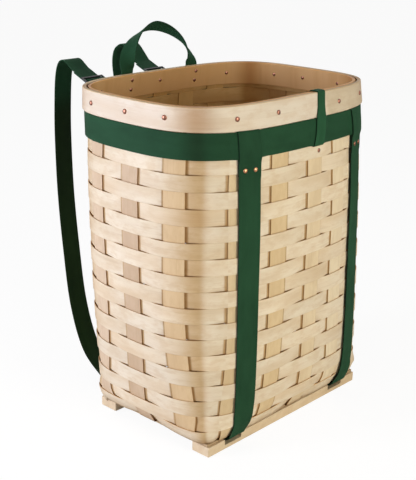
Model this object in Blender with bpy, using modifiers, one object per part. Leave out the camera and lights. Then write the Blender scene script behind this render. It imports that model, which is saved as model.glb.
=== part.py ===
"""Pack basket: a woven splint basket on two wooden runners, with a webbing harness.

Front of the basket, with the two long straps, faces -Y. The shoulder straps and the
grab handle are on the wearer's side, towards +Y. Z is up, and the runners stand on z = 0.
"""
import bmesh
import bpy
import math
from mathutils import Vector

MM = 0.001

# Clearances
GAP = 0.3 * MM
EDGE_CLEARANCE = 0.5 * MM
CUT_OVERRUN = 4.0 * MM

# Basket body, measured on the middle of the woven wall
HEIGHT = 529.5 * MM
BELLY_HALF_WIDTH = 224.0 * MM
BELLY_HALF_DEPTH = 166.0 * MM
BACKWARD_LEAN = 27.5 * MM

# The wall from its foot to its rim: height as a share of HEIGHT, half width and half
# depth as shares of the belly's, and how square the plan is (2 would be an ellipse)
WALL_SHARES = (
    (0.0378, 0.848, 0.744, 12.0),
    (0.1133, 0.942, 0.873, 4.2),
    (0.179, 0.966, 0.910, 3.6),
    (0.487, 1.0, 0.969, 3.05),
    (0.730, 0.989, 0.998, 2.93),
    (0.865, 0.963, 0.999, 3.0),
    (1.0, 0.929, 0.901, 3.85),
)

# Splints
STAKE_WIDTH = 33.0 * MM
STAKE_THICKNESS = 1.6 * MM
WEAVER_THICKNESS = 1.5 * MM
WEAVER_ROWS = 20
FIRST_WEAVER_HEIGHT = 19.0 * MM
STAKE_TOP_BELOW_RIM = 2.5 * MM
WEAVE_TOP_BELOW_RIM = 21.2 * MM
LONG_STAKE_SHARES = (-0.635, -0.31, 0.056, 0.342, 0.63)
LONG_BASE_SHARES = (-0.77, -0.39, 0.07, 0.42, 0.77)
SHORT_STAKE_SHARES = (-0.53, -0.06, 0.41)
SHORT_BASE_SHARES = (-0.68, 0.04, 0.66)
SPREAD_HEIGHT_SHARE = 0.49
CORNER_SHARES = (0.25, 0.5, 0.75)

# Rim hoops
OUTER_RIM_THICKNESS = 4.0 * MM
OUTER_RIM_HEIGHT = 34.0 * MM
INNER_RIM_THICKNESS = 3.0 * MM
INNER_RIM_HEIGHT = 38.5 * MM

# Wooden base
RUNNER_HALF_LENGTH = 186.0 * MM
RUNNER_DEPTH = 34.5 * MM
RUNNER_HEIGHT = 16.0 * MM
RUNNER_OUTER_HALF_SPACING = 121.5 * MM
RUNNER_EDGE_RADIUS = 1.2 * MM
NOTCH_DEPTH = 9.0 * MM
NOTCH_SIDE_CLEARANCE = 1.0 * MM
BOARD_THICKNESS = 3.7 * MM
BOARD_END_INSET = 1.0 * MM
BOARD_EDGE_INSET = 3.5 * MM

# Webbing
WEBBING_WIDTH = 36.0 * MM
WEBBING_THICKNESS = 1.6 * MM
BAND_THICKNESS = 1.5 * MM
BAND_BELOW_RIM = 3.4 * MM
BAND_BULGE_RAMP = 12.0 * MM
FRONT_STRAP_TOP_SPREAD = 125.0 * MM
FRONT_STRAP_BASE_SPREAD = 130.5 * MM
STRAP_TAIL_BELOW_BAND = 26.0 * MM
RIVET_ROW_BELOW_BAND = 16.5 * MM
STRAP_UNDER_BOARD_GAP = 0.5 * MM
NARROW_WEBBING_WIDTH = 25.0 * MM
KEEPER_WIDTH = 22.0 * MM
KEEPER_LOW_ACROSS = 12.0 * MM
KEEPER_TOP_ACROSS = 38.0 * MM
KEEPER_INSIDE_DROP = 78.0 * MM
FOLD_STEPS = 4

# Shoulder harness
ANCHOR_SPREAD = 70.0 * MM
ANCHOR_STANDOFF = 16.0 * MM
ANCHOR_LEAVES_BELOW_BAND_TOP = 5.0 * MM
ANCHOR_LENGTH = 55.0 * MM
ANCHOR_SLOPE = math.radians(22.5)
POINT_LENGTH = 5.5 * MM
POINT_TIP_WIDTH = 2.0 * MM
STRAP_REACH = 219.0 * MM
STRAP_TAIL_LENGTH = 38.0 * MM
STRAP_STRAIGHT_LENGTH = 44.0 * MM

# Strap slider
SLIDER_WIDTH = 46.0 * MM
SLIDER_THICKNESS = 2.5 * MM
SLIDER_RAIL = 3.5 * MM
SLIDER_SLOT = 8.5 * MM
SLIDER_SLOT_WIDTH = 40.0 * MM
SLIDER_EDGE_RADIUS = 0.6 * MM

# Grab handle
HANDLE_SPREAD = 74.0 * MM
HANDLE_OFF_CENTRE = 9.0 * MM
HANDLE_RISE = 72.0 * MM
HANDLE_PIVOT_ABOVE_RIM = 2.2 * MM
HANDLE_HINGE_CLEARANCE = 0.8 * MM
HANDLE_END_ABOVE_RIM_BOTTOM = 3.0 * MM
HANDLE_TWIST = math.radians(71)
HANDLE_LEAN_SHARES = (1.05, 1.65)
HANDLE_STEPS = 24

# Rivets
RIVET_HEAD_RADIUS = 3.6 * MM
RIVET_HEAD_HEIGHT = 1.7 * MM
RIVET_SHANK_RADIUS = 1.8 * MM
RIVET_SPACING = 16.5 * MM
HANDLE_RIVET_SPACING = 16.0 * MM
RIVET_SIDES = 12
SEAM_MERGE = 0.01 * MM

# The bow of each shoulder strap: how far back, how high and how far towards the middle
# each point lies, as shares of STRAP_REACH, HEIGHT and the change of spread.
# The right strap is set longer, so its bow is fuller
LEFT_BOW_SHARES = (
    (0.11, 0.0290, 0.02),
    (0.23, 0.0430, 0.05),
    (0.46, 0.1020, 0.13),
    (0.645, 0.230, 0.27),
    (0.775, 0.406, 0.44),
    (0.885, 0.585, 0.62),
    (0.962, 0.770, 0.80),
    (0.993, 0.888, 0.92),
    (0.998, 0.962, 0.99),
    (0.962, 1.006, 1.00),
    (0.895, 1.016, 1.00),
)
RIGHT_BOW_SHARES = (
    (0.11, 0.0290, 0.02),
    (0.23, 0.0430, 0.05),
    (0.462, 0.1020, 0.13),
    (0.650, 0.230, 0.27),
    (0.785, 0.406, 0.44),
    (0.905, 0.585, 0.62),
    (0.995, 0.770, 0.80),
    (1.040, 0.888, 0.92),
    (1.056, 0.965, 0.99),
    (1.040, 1.012, 1.00),
    (0.995, 1.034, 1.00),
    (0.915, 1.042, 1.00),
)

# Heights that follow from the sizes above
BOARD_BOTTOM = RUNNER_HEIGHT + GAP
BOARD_TOP = BOARD_BOTTOM + BOARD_THICKNESS
LOWER_STRIP = BOARD_TOP + GAP + STAKE_THICKNESS / 2
UPPER_STRIP = LOWER_STRIP + STAKE_THICKNESS + GAP
WEAVE_BOTTOM = UPPER_STRIP + STAKE_THICKNESS / 2 + GAP
FIRST_WEAVER_TOP = WEAVE_BOTTOM + FIRST_WEAVER_HEIGHT
WEAVE_TOP = HEIGHT - WEAVE_TOP_BELOW_RIM
WEAVER_PITCH = (WEAVE_TOP - FIRST_WEAVER_TOP) / (WEAVER_ROWS - 1)
RIM_BOTTOM = HEIGHT - OUTER_RIM_HEIGHT
KEEPER_DRIFT = (KEEPER_TOP_ACROSS - KEEPER_LOW_ACROSS) / 2
BAND_TOP = RIM_BOTTOM - BAND_BELOW_RIM
BAND_BOTTOM = BAND_TOP - WEBBING_WIDTH

# Layers of the wall, as distances from its middle
CROSSING_OFFSET = STAKE_THICKNESS / 2 + GAP + WEAVER_THICKNESS / 2
WEAVE_HALF_THICKNESS = CROSSING_OFFSET + WEAVER_THICKNESS / 2
RIM_SEAT = WEAVE_HALF_THICKNESS + 2 * GAP

# Layers of webbing, as distances from the face of the weave
TAIL_LAYER = GAP + WEBBING_THICKNESS / 2
BAND_INNER_LAYER = GAP + WEBBING_THICKNESS + 2 * GAP
FRONT_LAYER = BAND_INNER_LAYER + BAND_THICKNESS + 2 * GAP + WEBBING_THICKNESS / 2
DOUBLED_LAYER = TAIL_LAYER + WEBBING_THICKNESS + GAP
RIM_OUTER_LAYER = 2 * GAP + OUTER_RIM_THICKNESS
OVER_RIM_LAYER = RIM_OUTER_LAYER + GAP + WEBBING_THICKNESS / 2

KNOWN_RINGS = []

ASH = (0.80, 0.64, 0.44)
SPLINT = (0.84, 0.69, 0.50)
STAKE_WOOD = (0.76, 0.58, 0.38)
WEBBING_GREEN = (0.02, 0.11, 0.055)
COPPER = (0.72, 0.34, 0.20)
BLACK_PLASTIC = (0.02, 0.02, 0.022)


def row_edge(row):
    """Height of the lower edge of a weaver row; the last value is the top of the weave."""
    if row == 0:
        return WEAVE_BOTTOM
    return FIRST_WEAVER_TOP + (row - 1) * WEAVER_PITCH


def smooth_value(heights, values, z):
    """Monotone cubic through the given stations, so the wall has no ripple."""
    z = min(max(z, heights[0]), heights[-1])
    count = len(heights)
    slopes = [(values[i + 1] - values[i]) / (heights[i + 1] - heights[i]) for i in range(count - 1)]
    tangents = [slopes[0]]
    for before, after in zip(slopes, slopes[1:]):
        agree = before * after > 0
        tangents.append(2 * before * after / (before + after) if agree else 0.0)
    tangents.append(slopes[-1])
    index = 0
    while index < count - 2 and z > heights[index + 1]:
        index += 1
    span = heights[index + 1] - heights[index]
    t = (z - heights[index]) / span
    start, end = values[index], values[index + 1]
    return (
        (2 * t**3 - 3 * t**2 + 1) * start
        + (t**3 - 2 * t**2 + t) * span * tangents[index]
        + (-2 * t**3 + 3 * t**2) * end
        + (t**3 - t**2) * span * tangents[index + 1]
    )


def wall_size(z):
    """Half width, half depth, squareness and middle in Y of the wall's plan at a height."""
    heights = [row[0] * HEIGHT for row in WALL_SHARES]
    half_width, half_depth, squareness = (
        smooth_value(heights, [row[column] for row in WALL_SHARES], z) for column in (1, 2, 3)
    )
    half_width *= BELLY_HALF_WIDTH
    half_depth *= BELLY_HALF_DEPTH
    return half_width, half_depth, squareness, BACKWARD_LEAN * z / HEIGHT


def plan_point(z, face, across):
    """Point of the wall's plan on a face, at a distance across it from its middle."""
    half_width, half_depth, power, middle = wall_size(z)
    if face in ("front", "back"):
        side = -1 if face == "front" else 1
        share = min(abs(across / half_width), 1.0)
        return Vector((across, middle + side * half_depth * (1 - share**power) ** (1 / power)))
    side = -1 if face == "left" else 1
    share = min(abs(across / half_depth), 1.0)
    return Vector((side * half_width * (1 - share**power) ** (1 / power), middle + across))


def corner_point(z, first, last, share):
    """Point of the plan between two points of it that lie either side of a corner."""
    half_width, half_depth, power, middle = wall_size(z)

    def angle(point):
        along = math.copysign(abs(point.x / half_width) ** (power / 2), point.x)
        over = math.copysign(abs((point.y - middle) / half_depth) ** (power / 2), point.y - middle)
        return math.atan2(over, along)

    start, end = angle(first), angle(last)
    if end < start:
        end += 2 * math.pi
    turn = start + (end - start) * share
    cosine, sine = math.cos(turn), math.sin(turn)
    x = half_width * math.copysign(abs(cosine) ** (2 / power), cosine)
    y = half_depth * math.copysign(abs(sine) ** (2 / power), sine)
    return Vector((x, middle + y))


def stake_list():
    """Every upright around the wall, anticlockwise from the front left: face and number."""
    long_order = range(len(LONG_STAKE_SHARES))
    short_order = range(len(SHORT_STAKE_SHARES))
    around = [("front", number) for number in long_order]
    around += [("right", number) for number in short_order]
    around += [("back", number) for number in reversed(long_order)]
    around += [("left", number) for number in reversed(short_order)]
    return around


def stake_middle(z, face, number):
    """Place of an upright across its face; they draw together above the base."""
    half_width, half_depth, _, _ = wall_size(z)
    climb = (z - BOARD_TOP) / (SPREAD_HEIGHT_SHARE * HEIGHT - BOARD_TOP)
    left = (1 - min(max(climb, 0.0), 1.0)) ** 2
    if face in ("front", "back"):
        share, base_share = LONG_STAKE_SHARES[number], LONG_BASE_SHARES[number]
        return half_width * (share + (base_share - share) * left)
    share, base_share = SHORT_STAKE_SHARES[number], SHORT_BASE_SHARES[number]
    return half_depth * (share + (base_share - share) * left)


def chord(z, face, across, half_length):
    """Two points of the plan, a given distance apart, either side of a point of a face."""
    step = half_length
    for _ in range(6):
        start = plan_point(z, face, across - step)
        end = plan_point(z, face, across + step)
        step *= 2 * half_length / (end - start).length
    if face in ("front", "right"):
        return start, end
    return end, start


def plan_ring(z):
    """Plan of the wall as a polygon: the two edges of each upright, and round corners."""
    around = stake_list()
    edges = [
        chord(z, face, stake_middle(z, face, number), STAKE_WIDTH / 2 + EDGE_CLEARANCE)
        for face, number in around
    ]
    ring = []
    for index, (start, end) in enumerate(edges):
        following = (index + 1) % len(edges)
        ring += [(start, index, 0.0), (end, index, 0.0)]
        if around[index][0] != around[following][0]:
            for share in CORNER_SHARES:
                ring.append((corner_point(z, end, edges[following][0], share), index, share))
    return ring


def level_heights():
    """Heights at which the wall is shaped; it runs straight from each to the next."""
    return [row_edge(row) for row in range(WEAVER_ROWS + 1)] + [HEIGHT]


def wall_ring(z):
    """The polygon at any height, on the straight run between two shaped heights."""
    heights = level_heights()
    if not KNOWN_RINGS:
        KNOWN_RINGS.extend(plan_ring(height) for height in heights)
    index = 0
    while index < len(heights) - 2 and z > heights[index + 1]:
        index += 1
    share = (z - heights[index]) / (heights[index + 1] - heights[index])
    share = min(max(share, 0.0), 1.0)
    low, high = KNOWN_RINGS[index], KNOWN_RINGS[index + 1]
    return [(a.lerp(b, share), upright, turn) for (a, upright, turn), (b, _, _) in zip(low, high)]


def heights_between(low, high):
    """A span of height, its ends included, with every shaped height inside it."""
    return [low] + [z for z in level_heights() if low + GAP < z < high - GAP] + [high]


def edge_normal(start, end):
    along = (end - start).normalized()
    return Vector((along.y, -along.x))


def moved_ring(points, distances):
    """The polygon with each side moved outwards, its corners mitred."""
    moved = []
    for index, point in enumerate(points):
        before = edge_normal(points[index - 1], point)
        after = edge_normal(point, points[(index + 1) % len(points)])
        mitre = (before + after) / (1 + before.dot(after))
        moved.append(point + mitre * distances[index])
    return moved


def offset_ring(z, distance):
    points = [point for point, _, _ in wall_ring(z)]
    return moved_ring(points, [distance] * len(points))


def seat_frame(z, face, across):
    """Point, direction along the wall and outward direction at a place on a face."""
    probe = STAKE_WIDTH / 2
    start, end = chord(z, face, across, probe)
    outward = edge_normal(start, end)
    along = (end - start).normalized()
    return plan_point(z, face, across), along, outward


def support(ring, seat, half_width, inwards=False):
    """How far out along the seat's direction a flat strip of that width has to lie."""
    point, along, outward = seat
    far_side = -BELLY_HALF_DEPTH / 2
    heights = []
    for index, start in enumerate(ring):
        end = ring[(index + 1) % len(ring)]
        low, high = (start - point).dot(along), (end - point).dot(along)
        if (start - point).dot(outward) < far_side or abs(high - low) < GAP / 1000:
            continue
        first = min(max(-half_width, min(low, high)), max(low, high))
        last = max(min(half_width, max(low, high)), min(low, high))
        if first > half_width or last < -half_width:
            continue
        for place in (first, last):
            spot = start.lerp(end, (place - low) / (high - low))
            heights.append((spot - point).dot(outward))
    return min(heights) if inwards else max(heights)


def strap_seat(z, face, across, half_width):
    """Frame of a strap that lies on the outside of the weave: point, along, outward."""
    seat = seat_frame(z, face, across)
    height = support(offset_ring(z, WEAVE_HALF_THICKNESS), seat, half_width)
    point, along, outward = seat
    return point + outward * height, along, outward


def layered_point(z, face, across, half_width, layer):
    point, along, outward = strap_seat(z, face, across, half_width)
    place = point + outward * layer
    return Vector((place.x, place.y, z)), Vector((along.x, along.y, 0))


def new_object(name, mesh, material, parent=None, location=(0, 0, 0)):
    piece = bpy.data.objects.new(name, mesh)
    piece.data.materials.append(material)
    piece.location = location
    piece.parent = parent
    bpy.data.collections["pack_basket"].objects.link(piece)
    return piece


def finished_mesh(name, form):
    bmesh.ops.recalc_face_normals(form, faces=form.faces)
    mesh = bpy.data.meshes.new(name)
    form.to_mesh(mesh)
    form.free()
    if sum(face.area * face.center.dot(face.normal) for face in mesh.polygons) < 0:
        mesh.flip_normals()
    return mesh


def rises_anticlockwise(start, end):
    """True for a diagonal that climbs as it goes round the basket anticlockwise."""
    return (end.co.z - start.co.z) * start.co.xy.cross(end.co.xy) > 0


def loft(name, sections, closed):
    """Skin a row of sections, as a closed hoop or with flat ends.

    Every twisted quad is split along the same diagonal, so that neighbours keep their gap."""
    form = bmesh.new()
    rings = [[form.verts.new(corner) for corner in section] for section in sections]
    count = len(rings)
    for index in range(count if closed else count - 1):
        ring, following = rings[index], rings[(index + 1) % count]
        for side in range(len(ring)):
            near = (side + 1) % len(ring)
            a, b, c, d = ring[side], ring[near], following[near], following[side]
            if rises_anticlockwise(a, c):
                triangles = ((a, b, c), (a, c, d))
            else:
                triangles = ((a, b, d), (b, c, d))
            for triangle in triangles:
                form.faces.new(triangle)
    if not closed:
        form.faces.new(rings[0])
        form.faces.new(rings[-1])
    return finished_mesh(name, form)


def hoop_mesh(name, levels):
    """Closed hoop; each level is its height with an inner and an outer outline."""
    sections = []
    for index in range(len(levels[0][1])):
        outside = [(outer[index].x, outer[index].y, z) for z, _, outer in levels]
        inside = [(inner[index].x, inner[index].y, z) for z, inner, _ in levels]
        sections.append(outside + inside[::-1])
    return loft(name, sections, closed=True)


def ribbon_mesh(name, centres, sideways, widths, thicknesses, shift=Vector((0, 0, 0)), faces=None):
    """A flat strip along a route; sideways gives the direction of its width.

    Where faces holds a direction, the strip is cut level there and thickened along it."""
    sections = []
    count = len(centres)
    for index, centre in enumerate(centres):
        back = centre - centres[max(index - 1, 0)]
        ahead = centres[min(index + 1, count - 1)] - centre
        if index == 0:
            back = ahead
        if index == count - 1:
            ahead = back
        back, ahead = back.normalized(), ahead.normalized()
        along = (back + ahead).normalized()
        mitre = 1 / max(along.dot(ahead), 0.5)
        side = sideways[index] - along * sideways[index].dot(along)
        side.normalize()
        half_thickness = along.cross(side) * (thicknesses[index] / 2 * mitre)
        if faces and faces[index]:
            side = sideways[index]
            half_thickness = faces[index] * (thicknesses[index] / 2)
        half_width = side * (widths[index] / 2)
        corner = centre - shift
        sections.append(
            [
                corner - half_width - half_thickness,
                corner + half_width - half_thickness,
                corner + half_width + half_thickness,
                corner - half_width + half_thickness,
            ]
        )
    return loft(name, sections, closed=False)


def strap_mesh(name, route, sideways, width, shift=Vector((0, 0, 0))):
    count = len(route)
    return ribbon_mesh(name, route, sideways, [width] * count, [WEBBING_THICKNESS] * count, shift)


def fold_arc(centre, radius, start, end):
    """Points of a half turn in the plane of layer and height, ends included."""
    points = []
    for step in range(FOLD_STEPS + 1):
        angle = start + (end - start) * step / FOLD_STEPS
        points.append((centre[0] + radius * math.cos(angle), centre[1] + radius * math.sin(angle)))
    return points


def smooth_route(points, steps):
    """Catmull-Rom curve through a route's points."""
    padded = [points[0] * 2 - points[1]] + list(points) + [points[-1] * 2 - points[-2]]
    route = []
    for a, b, c, d in zip(padded, padded[1:], padded[2:], padded[3:]):
        for step in range(steps):
            t = step / steps
            route.append(
                0.5 * (2 * b + (c - a) * t + (2 * a - 5 * b + 4 * c - d) * t**2 + (3 * b - a - 3 * c + d) * t**3)
            )
    route.append(points[-1])
    return route


def make_material(name, colour, roughness, metallic=0.0):
    material = bpy.data.materials.new(name)
    material.use_nodes = True
    shader = material.node_tree.nodes["Principled BSDF"]
    shader.inputs["Base Color"].default_value = (*colour, 1)
    shader.inputs["Roughness"].default_value = roughness
    shader.inputs["Metallic"].default_value = metallic
    return material


def make_weavers(material, root):
    """Each row is one hoop that passes over one upright and under the next."""
    for row in range(WEAVER_ROWS):
        low = row_edge(row) + GAP / 2
        high = row_edge(row + 1) - GAP / 2
        distances = []
        for _, index, share in wall_ring(low):
            side = 1 if (index + row) % 2 == 1 else -1
            distances.append(CROSSING_OFFSET * side * (1 - 2 * share))
        levels = []
        for z in (low, high):
            points = [point for point, _, _ in wall_ring(z)]
            inner, outer = (
                moved_ring(points, [distance + side * WEAVER_THICKNESS / 2 for distance in distances])
                for side in (-1, 1)
            )
            levels.append((z, inner, outer))
        new_object(f"weaver_{row + 1:02d}", hoop_mesh("weaver", levels), material, root)


def upright_edges(z, face, number):
    """The two edges of an upright on the polygon of the wall."""
    target = stake_list().index((face, number))
    edges = [point for point, upright, turn in wall_ring(z) if upright == target and turn == 0]
    return edges[0], edges[1]


def make_stake(name, faces, number, crossings, material, root):
    """One splint down a wall, across the bottom and up the opposite wall."""
    centres, sideways, level_faces = [], [], []
    for side, face in enumerate(faces):
        heights = heights_between(WEAVE_BOTTOM, HEIGHT - STAKE_TOP_BELOW_RIM)
        if side == 0:
            heights.reverse()
        wall = []
        for z in heights:
            start, end = upright_edges(z, face, number)
            middle = (start + end) / 2
            along = (end - start).normalized()
            turn = 1 if side == 0 else -1
            wall.append((Vector((middle.x, middle.y, z)), Vector((along.x, along.y, 0)) * turn))
            level_faces.append(Vector((along.y, -along.x, 0)))
        if side == 1:
            before = len(centres)
            add_bottom(centres, sideways, wall[0], number, crossings)
            bottom = [None] * (len(centres) - before)
            level_faces = level_faces[:before] + bottom + level_faces[before:]
        centres += [point for point, _ in wall]
        sideways += [along for _, along in wall]
    count = len(centres)
    widths, thicknesses = [STAKE_WIDTH] * count, [STAKE_THICKNESS] * count
    mesh = ribbon_mesh(name, centres, sideways, widths, thicknesses, faces=level_faces)
    new_object(name, mesh, material, root)


def add_bottom(centres, sideways, far_wall, number, crossings):
    """Bottom run of a splint: over one crossing splint and under the next."""
    near, far = centres[-1], far_wall[0]
    direction = Vector((far.x - near.x, far.y - near.y, 0)).normalized()
    side = Vector((-direction.y, direction.x, 0))
    if side.dot(sideways[-1]) < 0:
        side = -side
    flat = [(near, LOWER_STRIP)]
    lengthways = abs(direction.y) > abs(direction.x)
    for crossing, place in enumerate(crossings):
        over = (number + crossing) % 2 == (0 if lengthways else 1)
        level = UPPER_STRIP if over else LOWER_STRIP
        reach = abs(place - (near.y if lengthways else near.x))
        for edge in (-1, 1):
            along = reach + edge * (STAKE_WIDTH / 2 + EDGE_CLEARANCE)
            flat.append((near + direction * along, level))
    flat.append((far, LOWER_STRIP))
    for point, level in flat:
        centres.append(Vector((point.x, point.y, level)))
        sideways.append(side)


def make_stakes(material, root):
    _, _, _, middle = wall_size(BOARD_TOP)
    long_order = range(len(LONG_STAKE_SHARES))
    short_order = range(len(SHORT_STAKE_SHARES))
    short_places = [middle + stake_middle(BOARD_TOP, "left", number) for number in short_order]
    long_places = [stake_middle(BOARD_TOP, "front", number) for number in long_order]
    for number in long_order:
        name = f"long_stake_{number + 1}"
        make_stake(name, ("front", "back"), number, short_places, material, root)
    for number in short_order:
        name = f"cross_stake_{number + 1}"
        make_stake(name, ("left", "right"), number, long_places, material, root)


def make_rims(material, root):
    outer, inner = [], []
    for z in heights_between(RIM_BOTTOM, HEIGHT):
        outer.append((z, offset_ring(z, RIM_SEAT), offset_ring(z, RIM_SEAT + OUTER_RIM_THICKNESS)))
    for z in heights_between(HEIGHT - INNER_RIM_HEIGHT, HEIGHT):
        inner.append((z, offset_ring(z, -RIM_SEAT - INNER_RIM_THICKNESS), offset_ring(z, -RIM_SEAT)))
    new_object("inner_rim", hoop_mesh("inner_rim", inner), material, root)
    return new_object("outer_rim", hoop_mesh("outer_rim", outer), material, root)


def place_on_seat(spot, seat):
    point, along, outward = seat
    return (spot - point).dot(along), (spot - point).dot(outward)


def side_at(ring, seat, target):
    """Number of the outline's side that passes a distance along the seat."""
    for index, start in enumerate(ring):
        low, height = place_on_seat(start, seat)
        high, _ = place_on_seat(ring[(index + 1) % len(ring)], seat)
        if height > -BELLY_HALF_DEPTH / 2 and low <= target < high:
            return index
    return 0


def bridged_rings(rings, seats, half_span):
    """The band's inner outlines, lifted flat over a strap that lies under them."""
    limit = half_span + BAND_BULGE_RAMP
    model, model_seat = rings[1], seats[1]
    first, last = (side_at(model, model_seat, target) for target in (-limit, limit))
    bridged = []
    for ring, seat in zip(rings, seats):
        point, along, outward = seat
        feet = []
        for side, target in ((first, -limit), (last, limit)):
            start, end = ring[side], ring[(side + 1) % len(ring)]
            low, _ = place_on_seat(start, seat)
            high, _ = place_on_seat(end, seat)
            feet.append(start.lerp(end, min(max((target - low) / (high - low), 0.05), 0.95)))
        lifted = [point + along * reach + outward * BAND_INNER_LAYER for reach in (-half_span, half_span)]
        kept = (first - last) % len(ring)
        rest = [ring[(last + 1 + step) % len(ring)] for step in range(kept)]
        bridged.append(rest + [feet[0]] + lifted + [feet[1]])
    return bridged


def band_crossings():
    """Every strip of webbing that passes behind the band: face, place across, width."""
    spread = front_strap_spread(BAND_BOTTOM)
    middle = (BAND_BOTTOM + BAND_TOP) / 2
    return (
        ("front", -spread, WEBBING_WIDTH),
        ("front", keeper_across(middle), KEEPER_WIDTH + KEEPER_DRIFT),
        ("front", spread, WEBBING_WIDTH),
        ("back", ANCHOR_SPREAD, WEBBING_WIDTH),
        ("back", -ANCHOR_SPREAD, WEBBING_WIDTH),
    )


def keeper_across(z):
    """The keeper leans a little to the right as it climbs."""
    climb = min(max((z - BAND_BOTTOM) / (HEIGHT - BAND_BOTTOM), 0.0), 1.0)
    return KEEPER_LOW_ACROSS + (KEEPER_TOP_ACROSS - KEEPER_LOW_ACROSS) * climb


def front_strap_spread(z):
    share = min(z / BAND_BOTTOM, 1.0)
    return FRONT_STRAP_BASE_SPREAD + (FRONT_STRAP_TOP_SPREAD - FRONT_STRAP_BASE_SPREAD) * share


def make_belly_band(material, root):
    heights = heights_between(BAND_BOTTOM, BAND_TOP)
    rings = [offset_ring(z, RIM_SEAT) for z in heights]
    for face, across, width in band_crossings():
        seats = [strap_seat(z, face, across, width / 2) for z in heights]
        rings = bridged_rings(rings, seats, width / 2 + EDGE_CLEARANCE)
    levels = []
    for z, ring in zip(heights, rings):
        levels.append((z, ring, moved_ring(ring, [BAND_THICKNESS] * len(ring))))
    new_object("belly_band", hoop_mesh("belly_band", levels), material, root)


def make_box(name, size, centre, material, root, radius):
    form = bmesh.new()
    bmesh.ops.create_cube(form, size=1)
    bmesh.ops.scale(form, vec=size, verts=form.verts)
    mesh = bpy.data.meshes.new(name)
    form.to_mesh(mesh)
    form.free()
    piece = new_object(name, mesh, material, root, centre)
    bevel = piece.modifiers.new("edges", "BEVEL")
    bevel.width = radius
    bevel.segments = 2
    return piece


def make_cutter(name, mesh, location, parent, rotation=(0, 0, 0)):
    cutter = bpy.data.objects.new(name, mesh)
    cutter.location = location
    cutter.rotation_euler = rotation
    cutter.parent = parent
    cutter.display_type = "WIRE"
    cutter.hide_render = True
    bpy.data.collections["pack_basket_cutters"].objects.link(cutter)
    return cutter


def cut(piece, cutter):
    modifier = piece.modifiers.new(cutter.name, "BOOLEAN")
    modifier.operation = "DIFFERENCE"
    modifier.object = cutter


def box_mesh(name, size):
    form = bmesh.new()
    bmesh.ops.create_cube(form, size=1)
    bmesh.ops.scale(form, vec=size, verts=form.verts)
    mesh = bpy.data.meshes.new(name)
    form.to_mesh(mesh)
    form.free()
    return mesh


def make_base(material, root):
    """Thin board on two runners; each runner is notched for the two straps."""
    size = (
        2 * (RUNNER_HALF_LENGTH - BOARD_END_INSET),
        2 * (RUNNER_OUTER_HALF_SPACING - BOARD_EDGE_INSET),
        BOARD_THICKNESS,
    )
    centre = (0, 0, BOARD_BOTTOM + BOARD_THICKNESS / 2)
    make_box("base_board", size, centre, material, root, RUNNER_EDGE_RADIUS / 2)
    runner_middle = RUNNER_OUTER_HALF_SPACING - RUNNER_DEPTH / 2
    for name, side in (("front_runner", -1), ("back_runner", 1)):
        size = (2 * RUNNER_HALF_LENGTH, RUNNER_DEPTH, RUNNER_HEIGHT)
        centre = (0, side * runner_middle, RUNNER_HEIGHT / 2)
        runner = make_box(name, size, centre, material, root, RUNNER_EDGE_RADIUS)
        notch = (
            WEBBING_WIDTH + 2 * NOTCH_SIDE_CLEARANCE,
            RUNNER_DEPTH + 2 * CUT_OVERRUN,
            NOTCH_DEPTH + CUT_OVERRUN,
        )
        middle = RUNNER_HEIGHT - NOTCH_DEPTH + notch[2] / 2
        for hand in (-1, 1):
            place = (hand * FRONT_STRAP_BASE_SPREAD, side * runner_middle, middle)
            cutter = make_cutter(f"{name}_notch", box_mesh("notch", notch), place, root)
            cut(runner, cutter)


def front_head_route():
    """Head of a front strap in layer and height: tail, fold over the band, rivet row."""
    tail_end = BAND_BOTTOM - STRAP_TAIL_BELOW_BAND
    radius = (FRONT_LAYER - TAIL_LAYER) / 2
    fold_middle = (FRONT_LAYER + TAIL_LAYER) / 2
    rivets = BAND_BOTTOM - RIVET_ROW_BELOW_BAND
    seam = RIVET_HEAD_RADIUS + GAP
    behind = heights_between(BAND_BOTTOM, BAND_TOP)[:-1]
    points = [(TAIL_LAYER, z) for z in [tail_end, rivets] + behind]
    points += fold_arc((fold_middle, BAND_TOP), radius, math.pi, 0)
    points += [(FRONT_LAYER, z) for z in reversed(behind[1:])]
    points += [
        (FRONT_LAYER, BAND_BOTTOM + GAP),
        (DOUBLED_LAYER, rivets + 2 * seam),
        (DOUBLED_LAYER, tail_end - GAP),
        (TAIL_LAYER, tail_end - 2 * seam),
    ]
    return points


def make_front_strap(name, hand, material, root):
    """Strap from the band down the front, through the runner notches and under the base."""
    half = WEBBING_WIDTH / 2
    route, sideways = [], []
    head = front_head_route()
    rows = [row_edge(row) for row in range(WEAVER_ROWS + 1)]
    below = [z for z in reversed(rows) if z < head[-1][1] - WEAVER_THICKNESS]
    clear = [(TAIL_LAYER + GAP * (1 + (z < 3 * row_edge(1))), z) for z in below]
    for layer, z in head + clear:
        point, along = layered_point(z, "front", hand * front_strap_spread(z), half, layer)
        route.append(point)
        sideways.append(along)
    across = Vector((1, 0, 0))
    under = BOARD_BOTTOM - STRAP_UNDER_BOARD_GAP - WEBBING_THICKNESS / 2
    spread = hand * FRONT_STRAP_BASE_SPREAD
    start, end = route[-1], Vector((spread, BOARD_EDGE_INSET - RUNNER_OUTER_HALF_SPACING, under))
    for inward, downward in ((0.0, 0.45), (0.12, 0.78), (0.45, 0.97), (1.0, 1.0)):
        y = start.y + (end.y - start.y) * inward
        z = start.z + (end.z - start.z) * downward
        route.append(Vector((spread, y, z)))
        sideways.append(across)
    for y in (0, RUNNER_OUTER_HALF_SPACING - GAP):
        route.append(Vector((spread, y, under)))
        sideways.append(across)
    mesh = strap_mesh(name, route, sideways, WEBBING_WIDTH)
    return new_object(name, mesh, material, root)


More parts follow.
